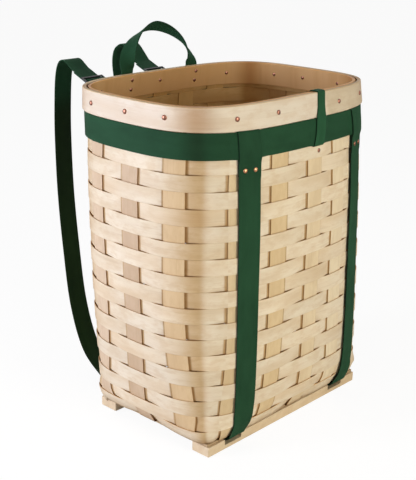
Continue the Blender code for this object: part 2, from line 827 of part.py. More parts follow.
def make_rim_keeper(material, root):
    """Narrow loop from behind the band up over the rim and down inside the wall."""
    half = KEEPER_WIDTH / 2
    tail = TAIL_LAYER + GAP / 4
    radius = (FRONT_LAYER - tail) / 2
    fold_middle = (FRONT_LAYER + tail) / 2
    low_rim = HEIGHT - INNER_RIM_HEIGHT
    clear = GAP + WEBBING_THICKNESS / 2

    def inside(z, depth):
        seat = strap_seat(z, "front", keeper_across(z), half)
        return support(offset_ring(z, -depth), seat, half, inwards=True) - clear - GAP

    rim_inside = min(inside(z, RIM_SEAT + INNER_RIM_THICKNESS) for z in (low_rim, HEIGHT))
    wall_inside = inside(low_rim, WEAVE_HALF_THICKNESS)
    top = HEIGHT + 2 * GAP + WEBBING_THICKNESS / 2
    bend = clear * 0.7
    behind = heights_between(BAND_BOTTOM, BAND_TOP)[1:-1]
    points = [(tail, z) for z in reversed(behind)]
    points += fold_arc((fold_middle, BAND_BOTTOM), radius, math.pi, 2 * math.pi)
    points += [(FRONT_LAYER, z) for z in behind]
    points += [
        (FRONT_LAYER, BAND_TOP),
        (OVER_RIM_LAYER, RIM_BOTTOM),
        (OVER_RIM_LAYER, WEAVE_TOP),
        (OVER_RIM_LAYER, HEIGHT),
        (RIM_OUTER_LAYER + bend, HEIGHT + bend),
        (RIM_OUTER_LAYER, top),
        (rim_inside + clear, top),
        (rim_inside + clear - bend, HEIGHT + bend),
        (rim_inside, HEIGHT),
        (rim_inside, low_rim - WEBBING_THICKNESS),
        (wall_inside, low_rim - 3 * INNER_RIM_THICKNESS),
        (wall_inside, HEIGHT - KEEPER_INSIDE_DROP),
    ]
    route, sideways = [], []
    for layer, z in points:
        point, along = layered_point(z, "front", keeper_across(z), half, layer)
        route.append(point)
        sideways.append(along)
    mesh = strap_mesh("rim_keeper", route, sideways, KEEPER_WIDTH)
    new_object("rim_keeper", mesh, material, root)


def anchor_start(hand):
    """Where the swinging anchor strap leaves its tab behind the wall."""
    z = BAND_TOP - ANCHOR_LEAVES_BELOW_BAND_TOP
    point, _ = layered_point(z, "back", hand * ANCHOR_SPREAD, WEBBING_WIDTH / 2, ANCHOR_STANDOFF)
    return point


def make_anchor_tab(name, hand, material, root):
    """Webbing folded round the band at the back, its outer layer turned outwards."""
    half = WEBBING_WIDTH / 2
    across = hand * ANCHOR_SPREAD
    radius = (FRONT_LAYER - TAIL_LAYER) / 2
    fold_middle = (FRONT_LAYER + TAIL_LAYER) / 2
    leave = BAND_TOP - ANCHOR_LEAVES_BELOW_BAND_TOP
    reach = ANCHOR_STANDOFF - FRONT_LAYER
    drop = reach * math.tan(ANCHOR_SLOPE)
    behind = heights_between(BAND_BOTTOM, BAND_TOP)[1:-1]
    points = [(TAIL_LAYER, z) for z in [BAND_TOP - GAP] + behind[::-1]]
    points += fold_arc((fold_middle, BAND_BOTTOM), radius, math.pi, 2 * math.pi)
    points += [
        (FRONT_LAYER, behind[0]),
        (FRONT_LAYER, leave - drop * 1.8),
        (FRONT_LAYER + reach * 0.22, leave - drop * 0.95),
        (FRONT_LAYER + reach * 0.6, leave - drop * 0.42),
        (ANCHOR_STANDOFF - GAP, leave - GAP * math.tan(ANCHOR_SLOPE)),
    ]
    route, sideways = [], []
    for layer, z in points:
        point, along = layered_point(z, "back", across, half, layer)
        route.append(point)
        sideways.append(along)
    mesh = strap_mesh(name, route, sideways, WEBBING_WIDTH)
    new_object(name, mesh, material, root)


def slider_frame(hand):
    """Middle of the slider, the direction of the strap there, and the way its top faces."""
    start = anchor_start(hand)
    along = Vector((0, math.cos(ANCHOR_SLOPE), math.sin(ANCHOR_SLOPE)))
    upward = Vector((0, -math.sin(ANCHOR_SLOPE), math.cos(ANCHOR_SLOPE)))
    return start + along * ANCHOR_LENGTH + upward * webbing_height(), along, upward


def make_slider(name, hand, material, pivot):
    """Flat frame with two slots, so that webbing can be locked over its middle bar."""
    middle, _, _ = slider_frame(hand)
    length = 3 * SLIDER_RAIL + 2 * SLIDER_SLOT
    size = (SLIDER_WIDTH, length, SLIDER_THICKNESS)
    place = middle - pivot.location
    slider = make_box(name, size, place, material, pivot, SLIDER_EDGE_RADIUS)
    slider.rotation_euler = (ANCHOR_SLOPE, 0, 0)
    slot = (SLIDER_SLOT_WIDTH, SLIDER_SLOT, SLIDER_THICKNESS + 2 * CUT_OVERRUN)
    for side in (-1, 1):
        along = Vector((0, math.cos(ANCHOR_SLOPE), math.sin(ANCHOR_SLOPE)))
        spot = place + along * side * (SLIDER_RAIL + SLIDER_SLOT) / 2
        cutter = make_cutter(f"{name}_slot", box_mesh("slot", slot), spot, pivot, (ANCHOR_SLOPE, 0, 0))
        cut(slider, cutter)


def webbing_height():
    """Distance of a webbing layer's middle from the middle of the slider's thickness."""
    return SLIDER_THICKNESS / 2 + GAP + WEBBING_THICKNESS / 2


def make_anchor_strap(name, hand, material, pivot):
    """Short strap from the tab, looped round the slider's lower rail and sewn to itself."""
    middle, along, upward = slider_frame(hand)
    height = webbing_height()
    inner_edge = -(SLIDER_RAIL / 2 + SLIDER_SLOT)
    outer_edge = inner_edge - SLIDER_RAIL
    turn = inner_edge + GAP + WEBBING_THICKNESS / 2
    corner = inner_edge + WEBBING_THICKNESS / 4
    rise = turn - corner
    sewn = -height + WEBBING_THICKNESS + GAP
    loop = [
        (corner, -height),
        (turn, rise - height),
        (turn, height - rise),
        (corner, height),
        (outer_edge, height),
        (outer_edge - SLIDER_RAIL * 2, sewn + GAP),
        (outer_edge - SLIDER_RAIL * 2.8, sewn),
        (outer_edge - SLIDER_RAIL * 6, sewn),
    ]
    start = anchor_start(hand)
    tip = start + along * GAP
    shoulder = start + along * (GAP + POINT_LENGTH)
    route = [tip, shoulder, shoulder + along * POINT_LENGTH]
    route += [middle + along * s + upward * h for s, h in loop]
    across = Vector((1, 0, 0))
    count = len(route)
    widths = [POINT_TIP_WIDTH] + [WEBBING_WIDTH] * (count - 1)
    mesh = ribbon_mesh(
        name, route, [across] * count, widths, [WEBBING_THICKNESS] * count, pivot.location
    )
    new_object(name, mesh, material, pivot)


def make_shoulder_strap(name, hand, material, pivot):
    """Strap from the back notch up in a wide bow and down through the slider."""
    middle, along, upward = slider_frame(hand)
    height = webbing_height()
    under = BOARD_BOTTOM - STRAP_UNDER_BOARD_GAP - WEBBING_THICKNESS / 2
    back_face = RUNNER_OUTER_HALF_SPACING + GAP
    spread_change = ANCHOR_SPREAD - FRONT_STRAP_BASE_SPREAD
    tip = Vector((hand * FRONT_STRAP_BASE_SPREAD, back_face, under))
    bow = [tip + Vector((0, POINT_LENGTH, 0))]
    for reach, rise, inward in LEFT_BOW_SHARES if hand < 0 else RIGHT_BOW_SHARES:
        spread = hand * (FRONT_STRAP_BASE_SPREAD + spread_change * inward)
        bow.append(Vector((spread, back_face + STRAP_REACH * reach, HEIGHT * rise)))
    bow.append(middle + along * STRAP_STRAIGHT_LENGTH - upward * height)
    rail = SLIDER_RAIL + SLIDER_SLOT
    bar = SLIDER_RAIL / 2
    below = -height - WEBBING_THICKNESS - 2 * GAP
    threaded = [
        (rail, -height),
        (rail - SLIDER_RAIL * 0.7, -height),
        (bar * 1.8, height),
        (-bar * 1.8, height),
        (-bar * 2.9, -height * 0.9),
        (-bar * 2.8, (below - height) / 2 - GAP),
        (-bar * 2.0, below),
        (rail, below),
        (STRAP_TAIL_LENGTH, below),
    ]
    route = [tip] + smooth_route(bow, 3)
    route += [middle + along * s + upward * h for s, h in threaded]
    across = Vector((1, 0, 0))
    count = len(route)
    widths = [POINT_TIP_WIDTH] + [WEBBING_WIDTH] * (count - 1)
    mesh = ribbon_mesh(
        name, route, [across] * count, widths, [WEBBING_THICKNESS] * count, pivot.location
    )
    new_object(name, mesh, material, pivot)


def handle_pivot_point():
    """Middle of the grab handle's hinge line, along the back edge of the rim."""
    z = HEIGHT + HANDLE_PIVOT_ABOVE_RIM
    leg, _ = handle_leg_place(z, 1)
    return Vector((0, leg.y, z))


def handle_leg_place(z, hand):
    half = NARROW_WEBBING_WIDTH / 2
    across = HANDLE_OFF_CENTRE + hand * HANDLE_SPREAD
    return layered_point(z, "back", across, half, OVER_RIM_LAYER)


def make_handle_end(name, hand, material, root):
    """Riveted end of the grab handle, flat on the outside of the rim."""
    low = RIM_BOTTOM + HANDLE_END_ABOVE_RIM_BOTTOM
    high = HEIGHT + HANDLE_PIVOT_ABOVE_RIM - WEBBING_THICKNESS / 2 - HANDLE_HINGE_CLEARANCE
    route, sideways = [], []
    for z in (low, WEAVE_TOP, HEIGHT, high):
        place = min(z, HEIGHT)
        point, along = handle_leg_place(place, hand)
        route.append(Vector((point.x, point.y, z)))
        sideways.append(along)
    mesh = strap_mesh(name, route, sideways, NARROW_WEBBING_WIDTH)
    return new_object(name, mesh, material, root)


def make_grab_handle(material, pivot):
    """Arch of narrow webbing that twists between its legs and its crown."""
    centre = pivot.location
    half_end = WEBBING_THICKNESS / 2
    route, sideways, widths, thicknesses = [], [], [], []
    legs = [handle_leg_place(HEIGHT, hand) for hand in (-1, 1)]
    (left, left_along), (right, right_along) = legs
    for step in range(HANDLE_STEPS + 1):
        angle = math.pi * (1 - step / HANDLE_STEPS)
        share = step / HANDLE_STEPS
        power = HANDLE_LEAN_SHARES[0 if math.cos(angle) < 0 else 1]
        spread = math.copysign(abs(math.cos(angle)) ** power, math.cos(angle))
        flat = left.lerp(right, 0.5 + 0.5 * spread)
        rise = HANDLE_RISE * math.sin(angle)
        route.append(Vector((flat.x, centre.y, centre.z + rise)))
        twist = HANDLE_TWIST * math.sin(math.pi * share) ** 1.5
        sideways.append(twist)
        widths.append(NARROW_WEBBING_WIDTH)
        thicknesses.append(WEBBING_THICKNESS)
    directions = []
    for index, twist in enumerate(sideways):
        ahead = route[min(index + 1, HANDLE_STEPS)] - route[max(index - 1, 0)]
        ahead.normalize()
        level = Vector((ahead.z, 0, -ahead.x))
        directions.append(level * math.cos(twist) + Vector((0, 1, 0)) * math.sin(twist))
    for index, along in ((0, left_along), (HANDLE_STEPS, right_along)):
        turn = 1 if along.dot(directions[index]) > 0 else -1
        directions[index] = along * turn
    ends = []
    for index in (0, HANDLE_STEPS):
        for drop, share in ((half_end, 0.35), (half_end * 0.5, 0.85)):
            ends.append((index, route[index] - Vector((0, 0, drop)), share))
    first = [ends[0], ends[1]]
    last = [ends[3], ends[2]]
    full_route = [spot for _, spot, _ in first] + route + [spot for _, spot, _ in last]
    full_directions = [directions[0]] * 2 + directions + [directions[-1]] * 2
    full_widths = widths[:2] + widths + widths[:2]
    full_thicknesses = [WEBBING_THICKNESS * share for _, _, share in first] + thicknesses
    full_thicknesses += [WEBBING_THICKNESS * share for _, _, share in last]
    mesh = ribbon_mesh(
        "grab_handle", full_route, full_directions, full_widths, full_thicknesses, centre
    )
    new_object("grab_handle", mesh, material, pivot)


def rivet_mesh(shank_length):
    """Half outline of a domed rivet, from the middle of its head to the end of its shank."""
    dome = []
    for step in range(4):
        angle = math.pi / 2 * step / 3
        dome.append((RIVET_HEAD_RADIUS * math.sin(angle), RIVET_HEAD_HEIGHT * math.cos(angle)))
    outline = dome + [
        (RIVET_SHANK_RADIUS, 0),
        (RIVET_SHANK_RADIUS, -shank_length),
        (0, -shank_length),
    ]
    mesh = bpy.data.meshes.new("rivet")
    edges = [(index, index + 1) for index in range(len(outline) - 1)]
    mesh.from_pydata([(radius, 0, height) for radius, height in outline], edges, [])
    return mesh


def make_rivet(name, place, outward, shank_length, material, root):
    rivet = new_object(name, rivet_mesh(shank_length), material, root, place)
    rivet.rotation_euler = outward.to_track_quat("Z", "Y").to_euler()
    screw = rivet.modifiers.new("turn", "SCREW")
    screw.axis = "Z"
    screw.steps = RIVET_SIDES
    screw.render_steps = RIVET_SIDES
    screw.use_merge_vertices = True
    screw.merge_threshold = SEAM_MERGE
    screw.use_smooth_shade = True
    return rivet


def drill(piece, name, place, outward, length, root):
    form = bmesh.new()
    radius = RIVET_SHANK_RADIUS + GAP
    bmesh.ops.create_cone(
        form, cap_ends=True, segments=RIVET_SIDES, radius1=radius, radius2=radius, depth=length
    )
    mesh = bpy.data.meshes.new(name)
    form.to_mesh(mesh)
    form.free()
    turn = outward.to_track_quat("Z", "Y").to_euler()
    cut(piece, make_cutter(name, mesh, place, root, turn))


def on_strip(low, high, along, z):
    """Place on a leaning strip at a height, and the direction square to the strip there."""
    place = low.lerp(high, (z - low.z) / (high.z - low.z))
    return place, along.cross((high - low).normalized()).normalized()


def rivet_front_strap(strap, name, hand, material, root):
    """Two rivets that close the strap's loop just below the band."""
    z = BAND_BOTTOM - RIVET_ROW_BELOW_BAND
    half = WEBBING_WIDTH / 2
    ends = []
    for height in (z - RIVET_HEAD_RADIUS, z + RIVET_HEAD_RADIUS):
        across = hand * front_strap_spread(height)
        end, along = layered_point(height, "front", across, half, DOUBLED_LAYER)
        ends.append(end)
    point, outward = on_strip(ends[0], ends[1], along, z)
    face = WEBBING_THICKNESS / 2
    shank = DOUBLED_LAYER + face - GAP
    for number, side in enumerate((-1, 1)):
        spot = point + along * side * RIVET_SPACING / 2 + outward * (face + GAP)
        make_rivet(f"{name}_{number + 1}", spot, outward, shank, material, root)
        drill(strap, f"{name}_hole", spot - outward * shank / 2, outward, shank + CUT_OVERRUN, root)


def rivet_handle_end(handle_end, outer_rim, name, hand, material, root):
    """Two rivets, one above the other, through the handle's end and the outer rim."""
    middle = (RIM_BOTTOM + HEIGHT) / 2
    face = WEBBING_THICKNESS / 2
    shank = WEBBING_THICKNESS + GAP + OUTER_RIM_THICKNESS
    low, along = handle_leg_place(RIM_BOTTOM, hand)
    high, _ = handle_leg_place(HEIGHT, hand)
    for number, side in enumerate((-1, 1)):
        z = middle + side * HANDLE_RIVET_SPACING / 2
        point, outward = on_strip(low, high, along, z)
        spot = point + outward * (face + GAP)
        make_rivet(f"{name}_{number + 1}", spot, outward, shank, material, root)
        for piece in (handle_end, outer_rim):
            drill(piece, f"{name}_hole", spot - outward * shank / 2, outward, shank + CUT_OVERRUN, root)


def make_pivot(name, place, root):
    pivot = bpy.data.objects.new(name, None)
    pivot.location = place
    pivot.parent = root
    bpy.data.collections["pack_basket"].objects.link(pivot)
    return pivot


def centre_on_footprint(root):
    """Move the root so that the origin is in the middle of the whole part's footprint."""
    bpy.context.view_layer.update()
    graph = bpy.context.evaluated_depsgraph_get()
    low, high = Vector((math.inf,) * 3), Vector((-math.inf,) * 3)
    for piece in bpy.data.collections["pack_basket"].objects:
        if piece.type != "MESH":
            continue
        evaluated = piece.evaluated_get(graph)
        for vertex in evaluated.data.vertices:
            spot = piece.matrix_world @ vertex.co
            for axis in range(3):
                low[axis] = min(low[axis], spot[axis])
                high[axis] = max(high[axis], spot[axis])
    root.location = (-(low.x + high.x) / 2, -(low.y + high.y) / 2, -low.z)


def main():
    for leftover in list(bpy.data.objects):
        bpy.data.objects.remove(leftover, do_unlink=True)
    for name in ("pack_basket", "pack_basket_cutters"):
        bpy.context.scene.collection.children.link(bpy.data.collections.new(name))
    root = bpy.data.objects.new("pack_basket_origin", None)
    bpy.data.collections["pack_basket"].objects.link(root)

    ash = make_material("ash_wood", ASH, 0.55)
    splint = make_material("splint_wood", SPLINT, 0.5)
    stake = make_material("stake_wood", STAKE_WOOD, 0.55)
    green = make_material("green_webbing", WEBBING_GREEN, 0.75)
    copper = make_material("copper", COPPER, 0.3, 1.0)
    black = make_material("black_plastic", BLACK_PLASTIC, 0.4)

    make_stakes(stake, root)
    make_weavers(splint, root)
    outer_rim = make_rims(ash, root)
    make_base(ash, root)
    make_belly_band(green, root)
    make_rim_keeper(green, root)
    for side, hand in (("left", -1), ("right", 1)):
        strap = make_front_strap(f"front_strap_{side}", hand, green, root)
        rivet_front_strap(strap, f"front_rivet_{side}", hand, copper, root)
        make_anchor_tab(f"anchor_tab_{side}", hand, green, root)
        pivot = make_pivot(f"{side}_strap_pivot", anchor_start(hand), root)
        make_anchor_strap(f"anchor_strap_{side}", hand, green, pivot)
        make_slider(f"slider_{side}", hand, black, pivot)
        make_shoulder_strap(f"shoulder_strap_{side}", hand, green, pivot)
        handle_end = make_handle_end(f"handle_end_{side}", hand, green, root)
        rivet_handle_end(handle_end, outer_rim, f"handle_rivet_{side}", hand, copper, root)
    pivot = make_pivot("grab_handle_pivot", handle_pivot_point(), root)
    make_grab_handle(green, pivot)
    centre_on_footprint(root)


main()
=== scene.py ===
"""Looks of the pack basket: smooth splints, hoops, webbing, copper and plastic round the CAD frame.

Shapes are worked out in the basket's own frame, in metres, with its front towards -Y and the
middle of its base at the origin, and are shifted into the row frame as each mesh is made.
"""

import math

import bpy
import numpy as np
from mathutils import Matrix, Vector


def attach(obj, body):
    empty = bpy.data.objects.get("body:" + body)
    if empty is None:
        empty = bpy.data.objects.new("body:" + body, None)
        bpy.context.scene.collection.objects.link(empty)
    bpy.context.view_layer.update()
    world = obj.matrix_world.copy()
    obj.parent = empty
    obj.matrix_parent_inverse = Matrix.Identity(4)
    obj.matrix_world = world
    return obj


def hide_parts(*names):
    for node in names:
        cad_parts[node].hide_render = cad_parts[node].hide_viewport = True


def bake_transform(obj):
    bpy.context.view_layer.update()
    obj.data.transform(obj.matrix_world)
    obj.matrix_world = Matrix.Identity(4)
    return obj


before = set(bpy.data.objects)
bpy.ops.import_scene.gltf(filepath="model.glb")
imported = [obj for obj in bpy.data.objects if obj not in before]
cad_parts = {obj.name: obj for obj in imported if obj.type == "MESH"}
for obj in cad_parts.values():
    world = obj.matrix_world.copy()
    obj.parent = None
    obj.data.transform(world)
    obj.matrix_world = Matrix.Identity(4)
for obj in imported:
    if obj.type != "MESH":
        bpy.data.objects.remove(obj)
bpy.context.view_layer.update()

MM = 0.001
SHIFT = np.array([0.0, -0.10132, 0.0])

# The wall: height share, width share, depth share and corner power at each station.
HEIGHT = 529.5 * MM
BELLY_HALF_WIDTH = 224 * MM
BELLY_HALF_DEPTH = 166 * MM
BACKWARD_LEAN = 27.5 * MM
WALL_SHARES = (
    (0.0378, 0.848, 0.744, 12.0),
    (0.1133, 0.942, 0.873, 4.2),
    (0.179, 0.966, 0.910, 3.6),
    (0.487, 1.0, 0.969, 3.05),
    (0.730, 0.989, 0.998, 2.93),
    (0.865, 0.963, 0.999, 3.0),
    (1.0, 0.929, 0.901, 3.85),
)

STAKE_WIDTH = 33 * MM
STAKE_ZONE_HALF = STAKE_WIDTH / 2 + 0.5 * MM
STAKE_THICKNESS = 1.6 * MM
WEAVER_THICKNESS = 1.5 * MM
WEAVER_ROWS = 20
LONG_STAKE_SHARES = (-0.635, -0.31, 0.056, 0.342, 0.63)
LONG_BASE_SHARES = (-0.77, -0.39, 0.07, 0.42, 0.77)
SHORT_STAKE_SHARES = (-0.53, -0.06, 0.41)
SHORT_BASE_SHARES = (-0.68, 0.04, 0.66)
SPREAD_HEIGHT_SHARE = 0.49

BOARD_TOP = 20 * MM
LOWER_STRIP = 21.1 * MM
UPPER_STRIP = 23 * MM
WEAVE_BOTTOM = 24.1 * MM
FIRST_WEAVER_TOP = 43.1 * MM
WEAVE_TOP = 508.3 * MM
WEAVER_PITCH = (WEAVE_TOP - FIRST_WEAVER_TOP) / (WEAVER_ROWS - 1)
LOWEST_HANG = 3.6 * MM
HIDDEN_HANG = 8 * MM
ROW_GAP = 0.03 * MM
CROSSING = 1.85 * MM
WEAVE_FACE = 2.6 * MM

RIM_SEAT = 3.2 * MM
RIM_BOTTOM = 495.5 * MM
OUTER_RIM_FACE = 7.2 * MM
INNER_RIM_FACE = -6.2 * MM
INNER_RIM_BOTTOM = HEIGHT - 38.5 * MM
STAKE_TOP_FACE = 1.3 * MM

BAND_TOP = 492.1 * MM
BAND_BOTTOM = 456.1 * MM
WEBBING = 36 * MM
NARROW = 25 * MM
KEEPER_WIDTH = 22 * MM
WEB_THICK = 1.6 * MM
TAIL = WEAVE_FACE + 1.1 * MM
BAND_REST = WEAVE_FACE + 1.35 * MM
BAND_MIDDLE = WEAVE_FACE + 3.25 * MM
FRONT = WEAVE_FACE + 5.4 * MM
FOLD_RADIUS = (FRONT - TAIL) / 2
FOLD_MIDDLE = (FRONT + TAIL) / 2
DOUBLED = WEAVE_FACE + 3 * MM
OVER_RIM = WEAVE_FACE + 5.7 * MM
FRONT_TOP_SPREAD = 125 * MM
FRONT_BASE_SPREAD = 130.5 * MM
UNDER_BASE = 15 * MM
RUNNER_FACE = 121.5 * MM

ANCHOR_SPREAD = 70 * MM
ANCHOR_SLOPE = math.radians(22.5)
ALONG = np.array([0.0, math.cos(ANCHOR_SLOPE), math.sin(ANCHOR_SLOPE)])
UPWARD = np.array([0.0, -math.sin(ANCHOR_SLOPE), math.cos(ANCHOR_SLOPE)])
WEB_HEIGHT = (1.25 + 0.3 + 0.8) * MM
SLIDER_RAIL = 3.5 * MM
SLIDER_SLOT = 8.5 * MM
STRAP_REACH = 219 * MM
HANDLE_CENTRE = 9 * MM
HANDLE_SPREAD = 74 * MM

# By slot: how thin a strip gets at its very edge, and the painted shade that darkens its thin edge faces.
EDGE_PINCH_AND_SHADE = {
    "weaver_splint": (0.6, np.array([0.76, 0.64, 0.50])),
    "stake_splint": (0.5, np.array([0.60, 0.46, 0.28])),
    "green_webbing": (0.6, 0.7),
}
# Painted shade and light, as tones that multiply a material's colour, and the painted shade at the corners:
# middle, widths towards the side and the face, in degrees from the front or back, and the tone at its middle.
INSIDE_SHADE = np.array([0.98, 0.76, 0.42])
POCKET_SHADE = np.array([0.62, 0.47, 0.29])
FOOT_SHADE = np.array([0.42, 0.31, 0.19])
RIGHT_RIM_SHADE = np.array([0.81, 0.77, 0.68])
HOOP_TOP_SHADE = np.array([1.12, 0.96, 0.68])
INNER_HOOP_SHADE = np.array([1.10, 0.80, 0.46])
LONG_STRAP_SHADE = np.array([0.34, 0.29, 0.13])
LOW_STRAP_SHADE = np.array([0.58, 0.44, 0.22])
WEAVE_CORNER_SHADE = (46.5, 20.0, 5.0, np.array([0.71, 0.59, 0.43]))
HOOP_CORNER_SHADE = (50.0, 17.5, 18.0, np.array([0.68, 0.55, 0.44]))
BAND_CORNER_SHADE = (50.0, 14.0, 9.0, np.array([0.62, 0.56, 0.50]))
LONG_TINTS = (
    (0.99, 0.97, 0.82), (1.00, 0.97, 0.80), (1.06, 1.09, 1.02), (1.12, 1.20, 1.20), (1.12, 1.20, 1.20),
)
CROSS_TINTS = ((0.93, 0.86, 0.70), (0.82, 0.76, 0.70), (0.92, 0.89, 0.86))

COLLECTION = bpy.context.scene.collection


def ease(t):
    t = np.clip(t, 0, 1)
    return t * t * (3 - 2 * t)


def unit(vector):
    return vector / np.linalg.norm(vector)


def lengths(points):
    """Distance along a line of points, from its first."""
    return np.concatenate([[0], np.cumsum(np.linalg.norm(np.diff(points, axis=0), axis=1))])


def wave(x, seed, amount, count=5, low=2):
    """Slow, repeatable variation round a closed loop, x from 0 to 1."""
    rng = np.random.default_rng(seed)
    total = np.zeros_like(x)
    for number in range(low, low + count):
        total += rng.normal() * np.sin(2 * math.pi * (number * x + rng.random())) / number
    return amount * total


# ---- the woven wall

def smooth_value(heights, values, z):
    """Monotone cubic through the wall's stations."""
    z = min(max(z, heights[0]), heights[-1])
    slopes = np.diff(values) / np.diff(heights)
    tangents = [slopes[0]]
    for before, after in zip(slopes, slopes[1:]):
        tangents.append(2 * before * after / (before + after) if before * after > 0 else 0.0)
    tangents.append(slopes[-1])
    index = min(max(int(np.searchsorted(heights, z)) - 1, 0), len(heights) - 2)
    span = heights[index + 1] - heights[index]
    t = (z - heights[index]) / span
    return (
        (2 * t**3 - 3 * t**2 + 1) * values[index]
        + (t**3 - 2 * t**2 + t) * span * tangents[index]
        + (-2 * t**3 + 3 * t**2) * values[index + 1]
        + (t**3 - t**2) * span * tangents[index + 1]
    )


def wall_size(z):
    heights = [row[0] * HEIGHT for row in WALL_SHARES]
    width, depth, power = (
        smooth_value(heights, [row[column] for row in WALL_SHARES], z) for column in (1, 2, 3)
    )
    return width * BELLY_HALF_WIDTH, depth * BELLY_HALF_DEPTH, power, BACKWARD_LEAN * z / HEIGHT


class Plan:
    """Outline of the wall's middle at one height, by distance along it from the front's middle."""

    def __init__(self, z):
        half_width, half_depth, power, self.middle = wall_size(z)
        turn = np.linspace(-math.pi / 2, 3 * math.pi / 2, 8001)
        cosine, sine = np.cos(turn), np.sin(turn)
        x = half_width * np.sign(cosine) * np.abs(cosine) ** (2 / power)
        y = self.middle + half_depth * np.sign(sine) * np.abs(sine) ** (2 / power)
        length = np.concatenate([[0], np.cumsum(np.hypot(np.diff(x), np.diff(y)))])
        self.total = length[-1]
        self.s = np.linspace(0, self.total, 2401)
        self.x, self.y = np.interp(self.s, length, x), np.interp(self.s, length, y)
        dx, dy = (np.roll(line[:-1], -3) - np.roll(line[:-1], 3) for line in (self.x, self.y))
        size = np.hypot(dx, dy)
        self.nx = np.append(dy / size, dy[0] / size[0])
        self.ny = np.append(-dx / size, -dx[0] / size[0])

    def at(self, s):
        """Points and outward directions at distances along the outline."""
        s = np.mod(s, self.total)
        x, y, nx, ny = (np.interp(s, self.s, line) for line in (self.x, self.y, self.nx, self.ny))
        normal = np.stack([nx, ny], -1)
        return np.stack([x, y], -1), normal / np.linalg.norm(normal, axis=-1, keepdims=True)

    def place(self, face, across):
        """Distance along the outline of a point of a face, given its distance from the middle."""
        depth = self.y - self.middle
        keep, value = {
            "front": (depth < 0, self.x), "back": (depth > 0, self.x),
            "right": (self.x > 0, depth), "left": (self.x < 0, depth),
        }[face]
        s, value = self.s[keep], value[keep]
        if face == "front":
            s = np.where(s > self.total / 2, s - self.total, s)
        order = np.argsort(value)
        return float(np.interp(across, value[order], s[order]))


PLANS = {}
STAKE_PLACES = {}


def plan(z):
    key = round(float(z), 5)
    if key not in PLANS:
        PLANS[key] = Plan(key)
    return PLANS[key]


def stake_middle(z, face, number):
    half_width, half_depth, _, _ = wall_size(z)
    climb = (z - BOARD_TOP) / (SPREAD_HEIGHT_SHARE * HEIGHT - BOARD_TOP)
    left = (1 - min(max(climb, 0.0), 1.0)) ** 2
    if face in ("front", "back"):
        share, base, half = LONG_STAKE_SHARES[number], LONG_BASE_SHARES[number], half_width
    else:
        share, base, half = SHORT_STAKE_SHARES[number], SHORT_BASE_SHARES[number], half_depth
    return half * (share + (base - share) * left)


AROUND = [("front", n) for n in range(5)] + [("right", n) for n in range(3)]
AROUND += [("back", n) for n in (4, 3, 2, 1, 0)] + [("left", n) for n in (2, 1, 0)]


def stake_places(z):
    """Distance along the outline of the middle of every upright, going anticlockwise."""
    key = round(float(z), 5)
    if key not in STAKE_PLACES:
        outline = plan(key)
        places = [outline.place(face, stake_middle(key, face, number)) for face, number in AROUND]
        for index in range(1, len(places)):
            while places[index] < places[index - 1]:
                places[index] += outline.total
        STAKE_PLACES[key] = np.array(places)
    return STAKE_PLACES[key]


def weave_columns(on_stake=8, in_gap=8, in_corner=20):
    """Positions round the wall shared by all rows: (upright, share, kind), kind 1 for a gap."""
    columns = []
    for index in range(16):
        columns += [(index, step / on_stake, 0) for step in range(on_stake)]
        corner = AROUND[index][0] != AROUND[(index + 1) % 16][0]
        close = 0.02 if corner else 0.045
        inner = np.linspace(2 * close, 1 - 2 * close, in_corner if corner else in_gap)
        columns += [(index, float(share), 1) for share in [0.0, close, *inner, 1 - close]]
    return columns


COLUMN_STAKE, COLUMN_SHARE, COLUMN_GAP = (np.array(part) for part in zip(*weave_columns()))
COLUMN_X = np.arange(len(COLUMN_STAKE)) / len(COLUMN_STAKE)


def column_places(z):
    middles = stake_places(z)
    starts, ends = middles - STAKE_ZONE_HALF, middles + STAKE_ZONE_HALF
    following = np.append(starts[1:], starts[0] + plan(z).total)
    zone = starts[COLUMN_STAKE] + 2 * STAKE_ZONE_HALF * COLUMN_SHARE
    gap = ends[COLUMN_STAKE] + (following - ends)[COLUMN_STAKE] * COLUMN_SHARE
    return np.where(COLUMN_GAP == 1, gap, zone)


# ---- meshes

def add_object(name, data):
    made = bpy.data.objects.new(name, data)
    COLLECTION.objects.link(made)
    return made


def add_mesh(name, points, faces, smooth, material):
    mesh = bpy.data.meshes.new(name)
    mesh.from_pydata(points, [], faces)
    mesh.polygons.foreach_set("use_smooth", smooth)
    mesh.materials.append(material)
    return add_object(name, mesh)


def on_basket(piece, *nodes):
    """The piece moves with the basket, in place of these nodes."""
    if nodes:
        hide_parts(*nodes)
    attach(piece, "basket")


